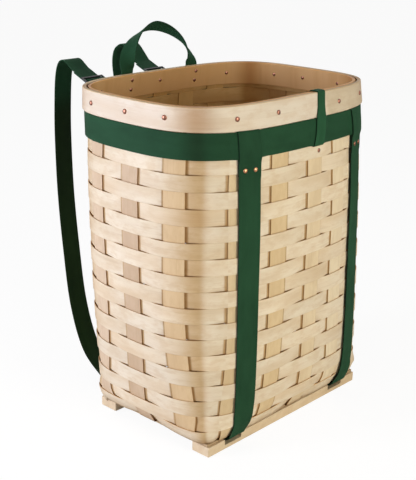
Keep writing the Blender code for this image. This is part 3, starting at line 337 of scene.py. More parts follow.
def strip_mesh(name, rings, along, across, seed, slot, closed, tint):
    """Solid from a row of cross-sections; its grain follows the distances along and across it."""
    rows, columns = rings.shape[:2]
    tint = np.broadcast_to(tint, (rows, columns, 3)).reshape(-1, 3)
    k, m = (part.ravel() for part in np.indices((rows if closed else rows - 1, columns)))
    here, ahead, beside = k * columns, (k + 1) % rows * columns, (m + 1) % columns
    across_next = np.append(across[1:], across[-1] + (across[-1] - across[-2]))
    a0, a1, c0, c1 = along[k], along[k + 1], across[m], across_next[m]
    faces = [np.stack([here + m, here + beside, ahead + beside, ahead + m], -1)]
    grain = [np.stack([a0, c0, a0, c1, a1, c1, a1, c0], -1).reshape(-1, 4, 2)]
    tints = [tint[faces[0]]]
    if not closed:
        j = np.arange(columns // 2 - 1)
        cap = np.stack([j, j + 1, columns - 2 - j, columns - 1 - j], -1)
        places = np.stack([across[j], across[j + 1], across[j + 1], across[j]], -1)
        for row, step in ((0, -1), (rows - 1, 1)):
            faces.append((cap + row * columns)[:, ::step])
            grain.append(np.stack([np.full(places.shape, along[row]), places[:, ::step]], -1))
            tints.append(np.broadcast_to(tint[row * columns], (*places.shape, 3)))
    faces, grain, tints = (np.concatenate(part) for part in (faces, grain, tints))
    smooth = np.arange(len(faces)) < len(k)
    points = rings.reshape(-1, 3) + SHIFT
    quads = points[faces]
    area = np.cross(quads[:, 2] - quads[:, 0], quads[:, 3] - quads[:, 1])
    if (quads.mean(1) * area).sum() < 0:
        faces, grain, tints = faces[:, ::-1], grain[:, ::-1], tints[:, ::-1]
    piece = add_mesh(name, points.tolist(), faces.tolist(), smooth, MATERIALS[slot])
    strip = np.concatenate([grain, np.full((*faces.shape, 1), float(seed))], -1)
    # The tint layer carries each strip's own tone together with its painted shade and light.
    for label, data in (("strip", strip), ("tint", tints)):
        layer = piece.data.attributes.new(label, "FLOAT_VECTOR", "CORNER")
        layer.data.foreach_set("vector", data.astype(np.float32).ravel())
    piece.data.update()
    return piece


def sheet_columns(width, inner=6, edge=0.28 * MM):
    """Places across a strip, close together at its edges so that they stay crisp."""
    half = width / 2
    middle = np.linspace(-half + 3.2 * edge, half - 3.2 * edge, inner)
    return np.concatenate([[-half, -half + edge], middle, [half - edge, half]])


def sheet_solid(
    name, middle, columns, thickness, seed, slot="green_webbing", closed=False,
    outside=1.0, inside=None, edge=None,
):
    """A strip of even thickness with softened edges, from the points of its middle surface."""
    rows, count = middle.shape[:2]
    if closed:
        ahead = np.roll(middle, -1, 0) - np.roll(middle, 1, 0)
    else:
        ahead = np.gradient(middle, axis=0)
    normal = np.cross(ahead, np.gradient(middle, axis=1))
    normal /= np.linalg.norm(normal, axis=-1, keepdims=True) + 1e-12
    profile = np.ones(count)
    profile[[0, -1]] = EDGE_PINCH_AND_SHADE[slot][0]
    offset = normal * (thickness / 2 * profile)[None, :, None]
    rings = np.concatenate([middle + offset, (middle - offset)[:, ::-1]], 1)
    centre = middle[:, count // 2]
    along = lengths(centre)
    if closed:
        along = np.append(along, along[-1] + np.linalg.norm(centre[0] - centre[-1]))
    places = np.concatenate([columns, columns[::-1]])
    sides = []
    for shade in (outside, outside if inside is None else inside):
        shade = np.asarray(shade, float)
        shade = np.broadcast_to(shade[:, None] if shade.ndim == 2 else shade, (rows, count, 3))
        sides.append(shade)
    shades = np.concatenate([sides[0], sides[1][:, ::-1]], 1)
    # Painted shade on the strip's edges.
    shades[:, [0, count - 1, count, 2 * count - 1]] *= EDGE_PINCH_AND_SHADE[slot][1] if edge is None else edge
    return strip_mesh(name, rings, along, places, seed, slot, closed, shades)


def on_wall(z_rows, s_rows):
    """Points of the wall's middle at given heights and distances along the outline."""
    result = np.zeros(s_rows.shape + (3,))
    for row, z in enumerate(z_rows):
        result[row, :, :2] = plan(z).at(s_rows[row])[0]
        result[row, :, 2] = z
    return result


def soften(points, step, rounds):
    """A route resampled evenly with its corners rounded, its ends kept."""
    points = np.asarray(points, float)
    length = lengths(points)
    count = max(int(length[-1] / step), 4)
    even = np.linspace(0, length[-1], count + 1)
    route = np.stack([np.interp(even, length, points[:, axis]) for axis in range(points.shape[1])], -1)
    for _ in range(rounds):
        route[1:-1] = (route[:-2] + 2 * route[1:-1] + route[2:]) / 4
    return route


def smooth_route(points, steps):
    """Catmull-Rom curve through the points."""
    points = np.asarray(points, float)
    padded = np.concatenate([[2 * points[0] - points[1]], points, [2 * points[-1] - points[-2]]])
    route = []
    for a, b, c, d in zip(padded, padded[1:], padded[2:], padded[3:]):
        for step in range(steps):
            t = step / steps
            bend = (2 * a - 5 * b + 4 * c - d) * t**2 + (3 * b - a - 3 * c + d) * t**3
            route.append(0.5 * (2 * b + (c - a) * t + bend))
    route.append(points[-1])
    return np.array(route)


def thinned(route, limit, slight=0.03):
    """Leaves out points of a route where it runs straight."""
    kept = [0]
    for index in range(1, len(route) - 1):
        before, after = route[index] - route[kept[-1]], route[index + 1] - route[index]
        gap = np.linalg.norm(before)
        turn = np.linalg.norm(before / (gap + 1e-12) - after / (np.linalg.norm(after) + 1e-12))
        if gap > limit or turn > slight:
            kept.append(index)
    kept.append(len(route) - 1)
    return route[kept]


# ---- materials

def link_or_set(tree, socket, value):
    if isinstance(value, tuple):
        socket.default_value = (*value, 1)
    elif isinstance(value, (int, float)):
        socket.default_value = value
    else:
        tree.links.new(value, socket)


def feed(tree, node, *values, **named):
    """Links or sets a node's first inputs in their order, and others by name, _ for a space."""
    for socket, value in zip(node.inputs, values):
        link_or_set(tree, socket, value)
    for name, value in named.items():
        link_or_set(tree, node.inputs[name.replace("_", " ")], value)
    return node


def add_node(tree, kind, *values, **named):
    return feed(tree, tree.nodes.new("ShaderNode" + kind), *values, **named)


def math_node(tree, operation, *values):
    made = add_node(tree, "Math", *values)
    made.operation = operation
    return made.outputs[0]


def times(tree, first, second):
    return math_node(tree, "MULTIPLY", first, second)


def mix_colour(tree, factor, first, second, blend="MIX"):
    made = add_node(tree, "Mix")
    made.data_type = "RGBA"
    made.blend_type = blend
    for socket, value in ((0, factor), (6, first), (7, second)):
        link_or_set(tree, made.inputs[socket], value)
    return made.outputs[2]


def ramp(tree, factor, low, high):
    return add_node(tree, "MapRange", From_Min=low, From_Max=high, Value=factor).outputs[0]


def laid_over(tree, base, noise, low, high, weight, colour):
    """A colour laid over the base where a noise runs high."""
    return mix_colour(tree, times(tree, ramp(tree, noise, low, high), weight), base, colour)


def noise_node(tree, vector, scale, detail, roughness):
    return add_node(
        tree, "TexNoise", Vector=vector, Scale=scale, Detail=detail, Roughness=roughness
    ).outputs[0]


def object_place(tree):
    return add_node(tree, "TexCoord").outputs["Object"]


def stretched_noise(tree, parts, along, across, depth, detail, roughness):
    """Noise drawn out along the grain; each strip has its own, by its seed."""
    scaled = [times(tree, part, scale) for part, scale in zip(parts, (along, across, depth))]
    return noise_node(tree, add_node(tree, "CombineXYZ", *scaled).outputs[0], 1.0, detail, roughness)


def attribute(tree, name):
    made = add_node(tree, "Attribute")
    made.attribute_name = name
    return made.outputs["Vector"]


def separated(tree, vector):
    return add_node(tree, "SeparateXYZ", Vector=vector).outputs


def add_bump(tree, shader, height, strength, distance):
    bump = add_node(tree, "Bump", Strength=strength, Distance=distance, Height=height)
    feed(tree, shader, Normal=bump.outputs[0])


def vary_roughness(tree, shader, noise, low, high):
    shine = add_node(tree, "MapRange", To_Min=low, To_Max=high, Value=noise)
    feed(tree, shader, Roughness=shine.outputs[0])


def new_material(name):
    material = bpy.data.materials.new(name)
    material.use_nodes = True
    return material, material.node_tree, material.node_tree.nodes["Principled BSDF"]


def wood_material(name, pale, tan, dark, roughness, by_strip=True):
    """Thin-cut wood: soft figure, broad tone bands, fine straight pores and a few short flecks."""
    material, tree, shader = new_material(name)
    if by_strip:
        parts, depth = separated(tree, attribute(tree, "strip")), 7.31
        seed = parts[2]
    else:
        parts, depth = separated(tree, object_place(tree)), 1.0
        seed = times(tree, parts[2], 40.0)
    base = pale
    noises = {}
    for layer, along, across, deep, detail, grit, low, high, weight, colour in (
        ("broad", 6.5, 34.0, 1.0, 2.0, 0.5, 0.42, 0.72, 0.85, tan),
        ("figure", 42.0, 95.0, 1.3, 3.0, 0.62, 0.45, 0.64, 0.60, tan),
        ("patch", 13.0, 38.0, 0.8, 2.0, 0.5, 0.50, 0.74, 0.12, dark),
        ("streak", 7.0, 260.0, 1.7, 2.0, 0.5, 0.58, 0.80, 0.22, dark),
        ("fine", 16.0, 850.0, 1.0, 3.0, 0.65, 0.5, 0.8, 0.16, dark),
        ("fleck", 120.0, 900.0, 0.6, 1.0, 0.5, 0.66, 0.8, 0.16, dark),
    ):
        noise = stretched_noise(tree, (parts[0], parts[1], seed), along, across, depth * deep, detail, grit)
        base = laid_over(tree, base, noise, low, high, weight, colour)
        noises[layer] = noise
    # The tint carries each strip's own tone and its painted shade and light.
    if by_strip:
        base = mix_colour(tree, 1.0, base, attribute(tree, "tint"), "MULTIPLY")
    feed(tree, shader, Base_Color=base, Specular_IOR_Level=0.35)
    vary_roughness(tree, shader, noises["fine"], roughness - 0.06, roughness + 0.10)
    grain = math_node(tree, "ADD", noises["fine"], times(tree, noises["streak"], 0.7))
    add_bump(tree, shader, grain, 0.35, 0.12 * MM)
    return material


def webbing_material(name, colour, light, dark, rib=1.25 * MM, column=1.5 * MM):
    """Flat-woven tape: fine ribs across it and columns along it; its darker edges are painted shade from the
    tint.
    """
    material, tree, shader = new_material(name)
    parts = separated(tree, attribute(tree, "strip"))
    ribs = math_node(tree, "SINE", times(tree, parts[0], 2 * math.pi / rib))
    columns = math_node(tree, "SINE", times(tree, parts[1], math.pi / column))
    crossing = times(tree, ribs, columns)
    ridges = math_node(tree, "ABSOLUTE", columns)
    yarn = stretched_noise(tree, parts, 260.0, 1500.0, 3.1, 2.0, 0.6)
    cloud = stretched_noise(tree, parts, 14.0, 40.0, 2.3, 2.0, 0.5)
    base = mix_colour(tree, ramp(tree, cloud, 0.3, 0.75), colour, light)
    base = laid_over(tree, base, crossing, 0.1, -1.0, 0.45, dark)
    base = laid_over(tree, base, yarn, 0.45, 0.8, 0.25, light)
    # The tint carries each piece's painted shade and light.
    base = mix_colour(tree, 1.0, base, attribute(tree, "tint"), "MULTIPLY")
    feed(tree, shader, Base_Color=base, Roughness=0.75, Specular_IOR_Level=0.16)
    height = math_node(tree, "ADD", times(tree, crossing, 0.5), ridges)
    height = math_node(tree, "ADD", height, times(tree, yarn, 0.5))
    add_bump(tree, shader, height, 0.6, 0.14 * MM)
    return material


def metal_material(name, colour, dark):
    material, tree, shader = new_material(name)
    noise = noise_node(tree, object_place(tree), 700.0, 3.0, 0.6)
    feed(tree, shader, Base_Color=laid_over(tree, colour, noise, 0.45, 0.75, 0.5, dark), Metallic=1.0)
    vary_roughness(tree, shader, noise, 0.20, 0.40)
    return material


def plastic_material(name, colour, light):
    material, tree, shader = new_material(name)
    noise = noise_node(tree, object_place(tree), 1800.0, 2.0, 0.5)
    base = mix_colour(tree, ramp(tree, noise, 0.4, 0.8), colour, light)
    feed(tree, shader, Base_Color=base, Roughness=0.42)
    add_bump(tree, shader, noise, 0.25, 0.05 * MM)
    return material


MATERIALS = {
    slot: wood_material(name, *look)
    for slot, name, *look in (
        ("weaver_splint", "weaver_wood", (0.87, 0.75, 0.59), (0.75, 0.58, 0.395), (0.50, 0.33, 0.18), 0.5),
        ("stake_splint", "stake_wood", (0.78, 0.62, 0.46), (0.70, 0.53, 0.37), (0.50, 0.33, 0.19), 0.52),
        ("ash_wood", "hoop_wood", (0.86, 0.755, 0.635), (0.76, 0.61, 0.465), (0.56, 0.39, 0.25), 0.45),
    )
}
BASE_WOOD = wood_material("base_wood", (0.82, 0.66, 0.47), (0.73, 0.55, 0.36), (0.52, 0.35, 0.20), 0.5, False)
# Dark brown board: painted shade, so that its thin edge reads as the shadowed gap above the runner.
SHADED_BOARD_WOOD = wood_material("shaded_board_wood", (0.52, 0.37, 0.22), (0.42, 0.29, 0.17), (0.27, 0.17, 0.09), 0.5, False)
MATERIALS["green_webbing"] = webbing_material(
    "green_webbing", (0.010, 0.052, 0.022), (0.018, 0.080, 0.036), (0.003, 0.018, 0.008)
)
COPPER = metal_material("copper", (0.62, 0.31, 0.17), (0.26, 0.10, 0.055))
# A darker copy of the copper, painted shade for the right front rivets.
SHADED_COPPER = metal_material("shaded_copper", (0.30, 0.13, 0.08), (0.14, 0.05, 0.03))
AGED_COPPER = metal_material("aged_copper", (0.36, 0.17, 0.12), (0.10, 0.04, 0.03))
BLACK = plastic_material("black_plastic", (0.012, 0.012, 0.013), (0.028, 0.028, 0.030))


def corner_shade_tint(normals, middle, side_width, face_width, shade):
    """Painted shade: pieces are toned a little darker and warmer at the corners, where the light falls off."""
    off_bend = np.degrees(np.arctan2(np.abs(normals[:, 0]), np.abs(normals[:, 1]))) - middle
    bend = np.exp(-((off_bend / np.where(off_bend > 0, side_width, face_width)) ** 2))[:, None]
    return 1 - bend * (1 - shade)


# ---- splints

def weaver_sign(row):
    """1 at the columns where a row passes outside the uprights, and -1 where it passes inside."""
    return np.where((COLUMN_STAKE + row) % 2 == 1, 1.0, -1.0)


def row_boundary(row):
    """Height of the edge between two rows at every column."""
    if row == 0:
        sign, after = weaver_sign(0), weaver_sign(1)
        leaving = np.where(sign > 0, 1.0, ease(COLUMN_SHARE / 0.3))
        arriving = np.where(after > 0, 1.0, ease((1 - COLUMN_SHARE) / 0.3))
        hang = np.where(COLUMN_GAP == 1, np.minimum(leaving, arriving), np.where(sign > 0, 1.0, 0.0))
        reach = np.where((COLUMN_STAKE > 4) & (COLUMN_STAKE < 13), HIDDEN_HANG, LOWEST_HANG)
        return WEAVE_BOTTOM + 0.2 * MM - reach * hang
    edge = FIRST_WEAVER_TOP + (row - 1) * WEAVER_PITCH
    return edge + wave(COLUMN_X, 100 + row, 0.0 if row == WEAVER_ROWS else 0.55 * MM)


def row_tint(row, sign, normals):
    """Each splint has its own tone; painted shade darkens it where it dives behind an upright and at the corners.
    """
    rng = np.random.default_rng(500 + row)
    level = 0.985 + 0.06 * (rng.random() - 0.5) + wave(COLUMN_X, 700 + row, 0.030, 9, 4)
    warmth = 0.04 * (rng.random() - 0.5) + wave(COLUMN_X, 900 + row, 0.020, 7, 3)
    tint = np.stack([level, level - warmth * 0.6, level - warmth * 1.6], -1)
    # Painted shade at the corners.
    tint *= corner_shade_tint(normals, *WEAVE_CORNER_SHADE)
    # Painted shade in the pocket beside an upright where the row passes behind it.
    leaving = (COLUMN_SHARE < 0.05) & (sign < 0)
    arriving = (COLUMN_SHARE > 0.95) & (sign > 0)
    pocket = (((leaving | arriving) & (COLUMN_GAP == 1)) | ((COLUMN_SHARE == 0) & (sign < 0)))[:, None]
    return tint, np.where(pocket, POCKET_SHADE, 1.0)


def make_weaver(row):
    low, high = row_boundary(row) + ROW_GAP, row_boundary(row + 1) - ROW_GAP
    sign = weaver_sign(row)
    swing = np.where(COLUMN_GAP == 1, sign - 2 * sign * ease(COLUMN_SHARE), sign)
    loose = wave(COLUMN_X, 300 + row, 0.10 * MM, 9, 3) * np.where(swing > 0, 1, 0.3)
    columns = np.array([0.0, 0.012, 0.05, 0.2, 0.4, 0.6, 0.8, 0.95, 0.988, 1.0])
    middle = np.zeros((len(COLUMN_X), len(columns), 3))
    for column, share in enumerate(columns):
        level = round(float(np.mean(low) + (np.mean(high) - np.mean(low)) * share), 4)
        point, normal = plan(level).at(column_places(level))
        cup = 0.16 * MM * (1 - (2 * share - 1) ** 2) * sign * (1 - COLUMN_GAP)
        middle[:, column, :2] = point + normal * (CROSSING * swing + cup + loose)[:, None]
        middle[:, column, 2] = low + (high - low) * share
    places = columns * float(np.mean(high - low))
    tint, pocket = row_tint(row, sign, normal)
    # Painted shade along the lower edge of the lowest row, above the board.
    if row == 0:
        lower_edge = np.exp(-places / (3.6 * MM))[None, :, None]
        tint = tint[:, None] * (1 - lower_edge * (1 - FOOT_SHADE))
        pocket = pocket[:, None]
    # Outside, the row's tone with its painted shade; inside, the painted warm shade of the basket's inside.
    piece = sheet_solid(
        f"weaver_splint_{row + 1:02d}", middle, places, WEAVER_THICKNESS, row + 1, "weaver_splint", True,
        outside=tint * pocket, inside=tint * INSIDE_SHADE,
    )
    on_basket(piece, f"weaver_{row + 1:02d}")


STAKE_HEIGHTS = np.concatenate([
    [WEAVE_BOTTOM, 26 * MM, 29 * MM, 33 * MM], np.arange(38, 500, 8) * MM, [508 * MM, 518 * MM, HEIGHT - 2.5 * MM]
])


def make_stake(name, node_name, faces, number, crossings, seed, tint):
    """Down one face, folded under the base, over and under the stakes it meets there, and up again."""
    columns = sheet_columns(STAKE_WIDTH, 7)
    walls = []
    for face, turn in zip(faces, (1, -1)):
        index = AROUND.index((face, number))
        rows = np.array([stake_places(z)[index] + turn * columns for z in STAKE_HEIGHTS])
        walls.append(on_wall(STAKE_HEIGHTS, rows))
    first, last = (wall[0].mean(0) for wall in walls)
    run = np.linalg.norm((last - first)[:2])
    direction = (last - first) * (1, 1, 0) / run
    bend = WEAVE_BOTTOM - LOWER_STRIP
    folds = []
    for wall, inward in zip(walls, (direction, -direction)):
        fold = []
        for angle in np.radians([25, 50, 72, 90]):
            section = wall[0] + inward * bend * (1 - math.cos(angle))
            section[:, 2] = WEAVE_BOTTOM - bend * math.sin(angle)
            fold.append(section)
        folds.append(fold)
    lengthways = faces[0] == "front"
    knots = [(0.0, LOWER_STRIP)]
    for crossing, place in enumerate(crossings):
        over = (number + crossing) % 2 == (0 if lengthways else 1)
        reach = abs(place - first[1 if lengthways else 0])
        for edge in (-STAKE_ZONE_HALF, STAKE_ZONE_HALF):
            knots.append((reach + edge, UPPER_STRIP if over else LOWER_STRIP))
    knots.append((run, LOWER_STRIP))
    bottom = []
    start, end = folds[0][-1], folds[1][-1]
    for (near, low), (far, high) in zip(knots, knots[1:]):
        for share in np.arange(0, 1, 0.2):
            t = (near + (far - near) * share - bend) / (run - 2 * bend)
            if 0.02 < t < 0.98:
                section = start + (end - start) * t
                section[:, 2] = low + (high - low) * ease(share)
                bottom.append(section)
    path = np.array([*walls[0][::-1], *folds[0], *bottom, *folds[1][::-1], *walls[1]])
    # Painted shade where the upright folds under the base, and the painted warm shade of the basket's inside on
    # its inner face.
    foot = np.exp(-np.maximum(path[:, :, 2].mean(1) - LOWER_STRIP, 0) / (3 * MM))
    tint = np.array(tint) * (1 - foot[:, None] * (1 - FOOT_SHADE))
    piece = sheet_solid(
        name, path, columns, STAKE_THICKNESS, seed, "stake_splint", outside=tint, inside=tint * INSIDE_SHADE
    )
    on_basket(piece, node_name)


def make_splints():
    for row in range(WEAVER_ROWS):
        make_weaver(row)
    middle = wall_size(BOARD_TOP)[3]
    short_places = [middle + stake_middle(BOARD_TOP, "left", n) for n in range(3)]
    long_places = [stake_middle(BOARD_TOP, "front", n) for n in range(5)]
    for kind, faces, places, seed, tints in (
        ("long", ("front", "back"), short_places, 41, LONG_TINTS),
        ("cross", ("left", "right"), long_places, 61, CROSS_TINTS),
    ):
        for number, tint in enumerate(tints):
            names = f"upright_{kind}_{number + 1}", f"{kind}_stake_{number + 1}"
            make_stake(*names, faces, number, places, seed + number, tint)


# ---- hoops

def rounded_section(points, radii, steps=3):
    """Outline with its corners rounded, as a list of points."""
    outline = []
    for index, (point, radius) in enumerate(zip(points, radii)):
        here = np.array(point)
        before = unit(np.array(points[index - 1]) - here)
        after = unit(np.array(points[(index + 1) % len(points)]) - here)
        start, end = here + before * radius, here + after * radius
        outline.append(start + before * radius * 0.6)
        for step in range(steps + 1):
            t = step / steps
            outline.append((1 - t) ** 2 * start + 2 * t * (1 - t) * here + t**2 * end)
        outline.append(end + after * radius * 0.6)
    return np.array(outline)


def hoop(name, section, seed, tint=1.0, right_rim_tone=1.0, samples=420):
    """Ring round the wall from a cross-section of (distance from the wall, height) points."""
    shares = np.arange(samples) / samples
    rings = np.zeros((samples, len(section), 3))
    for column, (distance, z) in enumerate(section):
        outline = plan(z)
        point, normal = outline.at(shares * outline.total)
        rings[:, column, :2] = point + normal * distance
        rings[:, column, 2] = z
    along = np.append(shares, 1.0) * plan(section[0][1]).total
    # Painted shade at the corners and at the front right, and painted light on the top faces, toned warmer
    # against their grey reflection.
    on_top = (section[:, 1] > section[:, 1].max() - 0.6 * MM)[None, :, None]
    right_rim_mask = ease((rings[:, :, :1] - 38 * MM) / (14 * MM)) * ease((90 * MM - rings[:, :, 1:2]) / (60 * MM))
    shades = tint * corner_shade_tint(normal, *HOOP_CORNER_SHADE)[:, None] * np.where(on_top, HOOP_TOP_SHADE, 1.0)
    shades = shades * (1 - (1 - right_rim_tone) * right_rim_mask)
    return strip_mesh(name, rings, along, lengths(section), seed, "ash_wood", True, shades)


def make_hoops():
    """The outer hoop is toned a little darker at the front right, as painted shade."""
    low, high, top = 510 * MM, 511 * MM, HEIGHT - 0.3 * MM
    outer = [
        (RIM_SEAT, RIM_BOTTOM), (OUTER_RIM_FACE, RIM_BOTTOM), (OUTER_RIM_FACE, HEIGHT),
        (STAKE_TOP_FACE, HEIGHT), (STAKE_TOP_FACE, high), (RIM_SEAT, low),
    ]
    section = rounded_section(outer, np.array([0.4, 1.0, 1.1, 0.7, 0.2, 0.2]) * MM)
    on_basket(hoop("rim_hoop_outer", section, 81, right_rim_tone=RIGHT_RIM_SHADE), "outer_rim")
    inner = [
        (INNER_RIM_FACE, INNER_RIM_BOTTOM), (-RIM_SEAT, INNER_RIM_BOTTOM), (-RIM_SEAT, low),
        (-STAKE_TOP_FACE, high), (-STAKE_TOP_FACE, top), (INNER_RIM_FACE, top),
    ]
    section = rounded_section(inner, np.array([0.9, 0.4, 0.2, 0.2, 0.6, 1.0]) * MM)
    # The inner hoop takes the painted warm shade of the basket's inside.
    on_basket(hoop("rim_hoop_inner", section, 82, tint=INNER_HOOP_SHADE), "inner_rim")


# ---- webbing on the wall

def strap_on_wall(route, face, across_at, width, inner=7):
    """Middle surface of a strip that follows the wall; route holds (distance, height) points."""
    columns = sheet_columns(width, inner)
    middle = np.zeros((len(route), len(columns), 3))
    for row, (distance, z) in enumerate(route):
        outline = plan(round(min(max(z, WEAVE_BOTTOM), HEIGHT), 4))
        point, normal = outline.at(outline.place(face, across_at(z)) + columns)
        middle[row, :, :2] = point + normal * distance
        middle[row, :, 2] = z
    return middle, columns


def front_spread(z):
    share = min(max(z / BAND_BOTTOM, 0.0), 1.0)
    return FRONT_BASE_SPREAD + (FRONT_TOP_SPREAD - FRONT_BASE_SPREAD) * share


def keeper_across(z):
    climb = min(max((z - BAND_BOTTOM) / (HEIGHT - BAND_BOTTOM), 0.0), 1.0)
    return (12.0 + 26.0 * climb) * MM


def arc(centre, radius, start, end, steps=10):
    angles = np.linspace(start, end, steps + 1)
    return [(centre[0] + radius * math.cos(a), centre[1] + radius * math.sin(a)) for a in angles]


def make_band(samples=480, ramp_length=11 * MM):
    """Belly band: one closed ring, lifted where a strap passes behind it."""
    columns = sheet_columns(WEBBING + 2 * MM, 9)
    middle_height = (BAND_BOTTOM + BAND_TOP) / 2 + 1 * MM
    middle = np.zeros((samples, len(columns), 3))
    for column, offset in enumerate(columns):
        z = middle_height + offset
        outline = plan(round(z, 4))
        s = np.arange(samples) / samples * outline.total
        distance = np.full(samples, BAND_REST)
        for face, across, width in (
            ("front", keeper_across(z), KEEPER_WIDTH),
            ("front", -front_spread(z), WEBBING), ("front", front_spread(z), WEBBING),
            ("back", -ANCHOR_SPREAD, WEBBING), ("back", ANCHOR_SPREAD, WEBBING),
        ):
            place = outline.place(face, across)
            away = np.abs((s - place + outline.total / 2) % outline.total - outline.total / 2)
            lift = 1 - ease((away - width / 2 - 1 * MM) / ramp_length)
            distance = np.maximum(distance, BAND_REST + (BAND_MIDDLE - BAND_REST) * lift)
        point, normal = outline.at(s)
        middle[:, column, :2] = point + normal * distance[:, None]
        middle[:, column, 2] = z + wave(s / outline.total, 7, 0.25 * MM)
    # Painted shade at the corners.
    shade = corner_shade_tint(normal, *BAND_CORNER_SHADE)
    on_basket(sheet_solid("webbing_band", middle, columns, 1.6 * MM, 3, closed=True, outside=shade), "belly_band")


# Where the front strap leaves the wall for its notch: millimetres inwards, and height.
FRONT_FOOT = ((0, 48), (1.8, 42), (4.8, 35), (8.4, 28.5), (10.3, 24.5), (11.2, 21), (14.5, 17.4), (19, 15.6))


def make_front_strap(side, hand):
    """Down the front from the band, through the front notch, under the base to the back notch."""
    tail_end = BAND_BOTTOM - 26 * MM
    foot_top = FRONT_FOOT[0][1] * MM
    head = [(TAIL, tail_end + 1.5 * MM), (TAIL, BAND_TOP)]
    head += arc((FOLD_MIDDLE, BAND_TOP + 0.6 * MM), FOLD_RADIUS, math.pi, 0)
    head += [
        (FRONT, BAND_BOTTOM + 1 * MM), (DOUBLED + 0.3 * MM, BAND_BOTTOM - 6 * MM), (DOUBLED, tail_end + 3 * MM),
        (DOUBLED - 0.1 * MM, tail_end), (TAIL + 0.9 * MM, tail_end - 6 * MM), (TAIL + 0.9 * MM, foot_top),
    ]
    wall_route = thinned(soften(head, 1 * MM, 5), 7 * MM)
    middle, columns = strap_on_wall(wall_route, "front", lambda z: hand * front_spread(z), WEBBING)
    last = middle[-1]
    start_y = last[:, 1].mean()
    route = [(start_y + inward * MM, z * MM) for inward, z in FRONT_FOOT]
    route += [(y * MM, UNDER_BASE) for y in (-113, -100, 0, 80, 108)]
    rows = []
    for y, z in thinned(soften(route, 1.5 * MM, 5), 12 * MM)[1:]:
        blend = ease((foot_top - z) / (26 * MM))
        section = last.copy()
        section[:, 0] = last[:, 0] * (1 - blend) + (hand * FRONT_BASE_SPREAD + columns) * blend
        section[:, 1] = y + (last[:, 1] - start_y) * (1 - blend)
        section[:, 2] = z
        rows.append(section)
    full = np.concatenate([middle, np.array(rows)])
    # Painted shadow on the strap's thin edges.
    piece = sheet_solid(f"webbing_front_{side}", full, columns, 1.9 * MM, 5 + hand, edge=0.12)
    on_basket(piece, f"front_strap_{side}")


def make_keeper():
    """Folded under the band at the front and over the rim, down to its end inside."""
    rim_inside = INNER_RIM_FACE - 1.3 * MM
    wall_inside = -WEAVE_FACE - 1.2 * MM
    top = HEIGHT + 1.4 * MM
    route = [(TAIL, 480 * MM), (TAIL, BAND_BOTTOM)]
    fold = arc((FOLD_MIDDLE, 0.0), FOLD_RADIUS, math.pi, 2 * math.pi)
    route += [(layer, BAND_BOTTOM - 0.2 * MM + drop * 0.4) for layer, drop in fold]
    route += [
        (FRONT, BAND_BOTTOM + 6 * MM), (FRONT + 0.2 * MM, BAND_TOP - 3 * MM), (OVER_RIM, RIM_BOTTOM + 1 * MM),
        (OVER_RIM, HEIGHT - 2 * MM), (OVER_RIM - 0.3 * MM, HEIGHT + 0.2 * MM), (7 * MM, top), (-6 * MM, top),
        (rim_inside + 0.2 * MM, HEIGHT), (rim_inside, INNER_RIM_BOTTOM),
        (wall_inside - 0.6 * MM, INNER_RIM_BOTTOM - 5 * MM), (wall_inside, INNER_RIM_BOTTOM - 10 * MM),
        (wall_inside, HEIGHT - 78 * MM),
    ]
    route = thinned(soften(route, 0.8 * MM, 5), 6 * MM)
    middle, columns = strap_on_wall(route, "front", keeper_across, KEEPER_WIDTH, inner=6)
    centre = middle[:, len(columns) // 2]
    squeeze = 1 - 0.22 * ease((centre[:, 2] - 494 * MM) / (16 * MM)) * (centre[:, 1] < 0)
    middle = centre[:, None] + (middle - centre[:, None]) * squeeze[:, None, None]
    # Painted light on the keeper's outside, lighter than the band, and painted shadow on its edges.
    piece = sheet_solid("webbing_keeper", middle, columns, WEB_THICK, 9, outside=1.35, edge=0.2)
    on_basket(piece, "rim_keeper")


# ---- the harness behind

def anchor_start(hand):
    return np.array([hand * 71.2 * MM, 203.74 * MM, 487.1 * MM])


def slider_middle(hand):
    return anchor_start(hand) + ALONG * 55 * MM + UPWARD * WEB_HEIGHT


def at_slider(hand, places):
    """Points given by their distances along the webbing and off it, from a slider's middle."""
    return [slider_middle(hand) + ALONG * along + UPWARD * off for along, off in places]


def flat_sheet(route, columns):
    """Middle surface of a strip whose width runs along X at every point of its route."""
    across = np.zeros((len(route), len(columns), 3))
    across[:, :, 0] = columns
    return route[:, None, :] + across


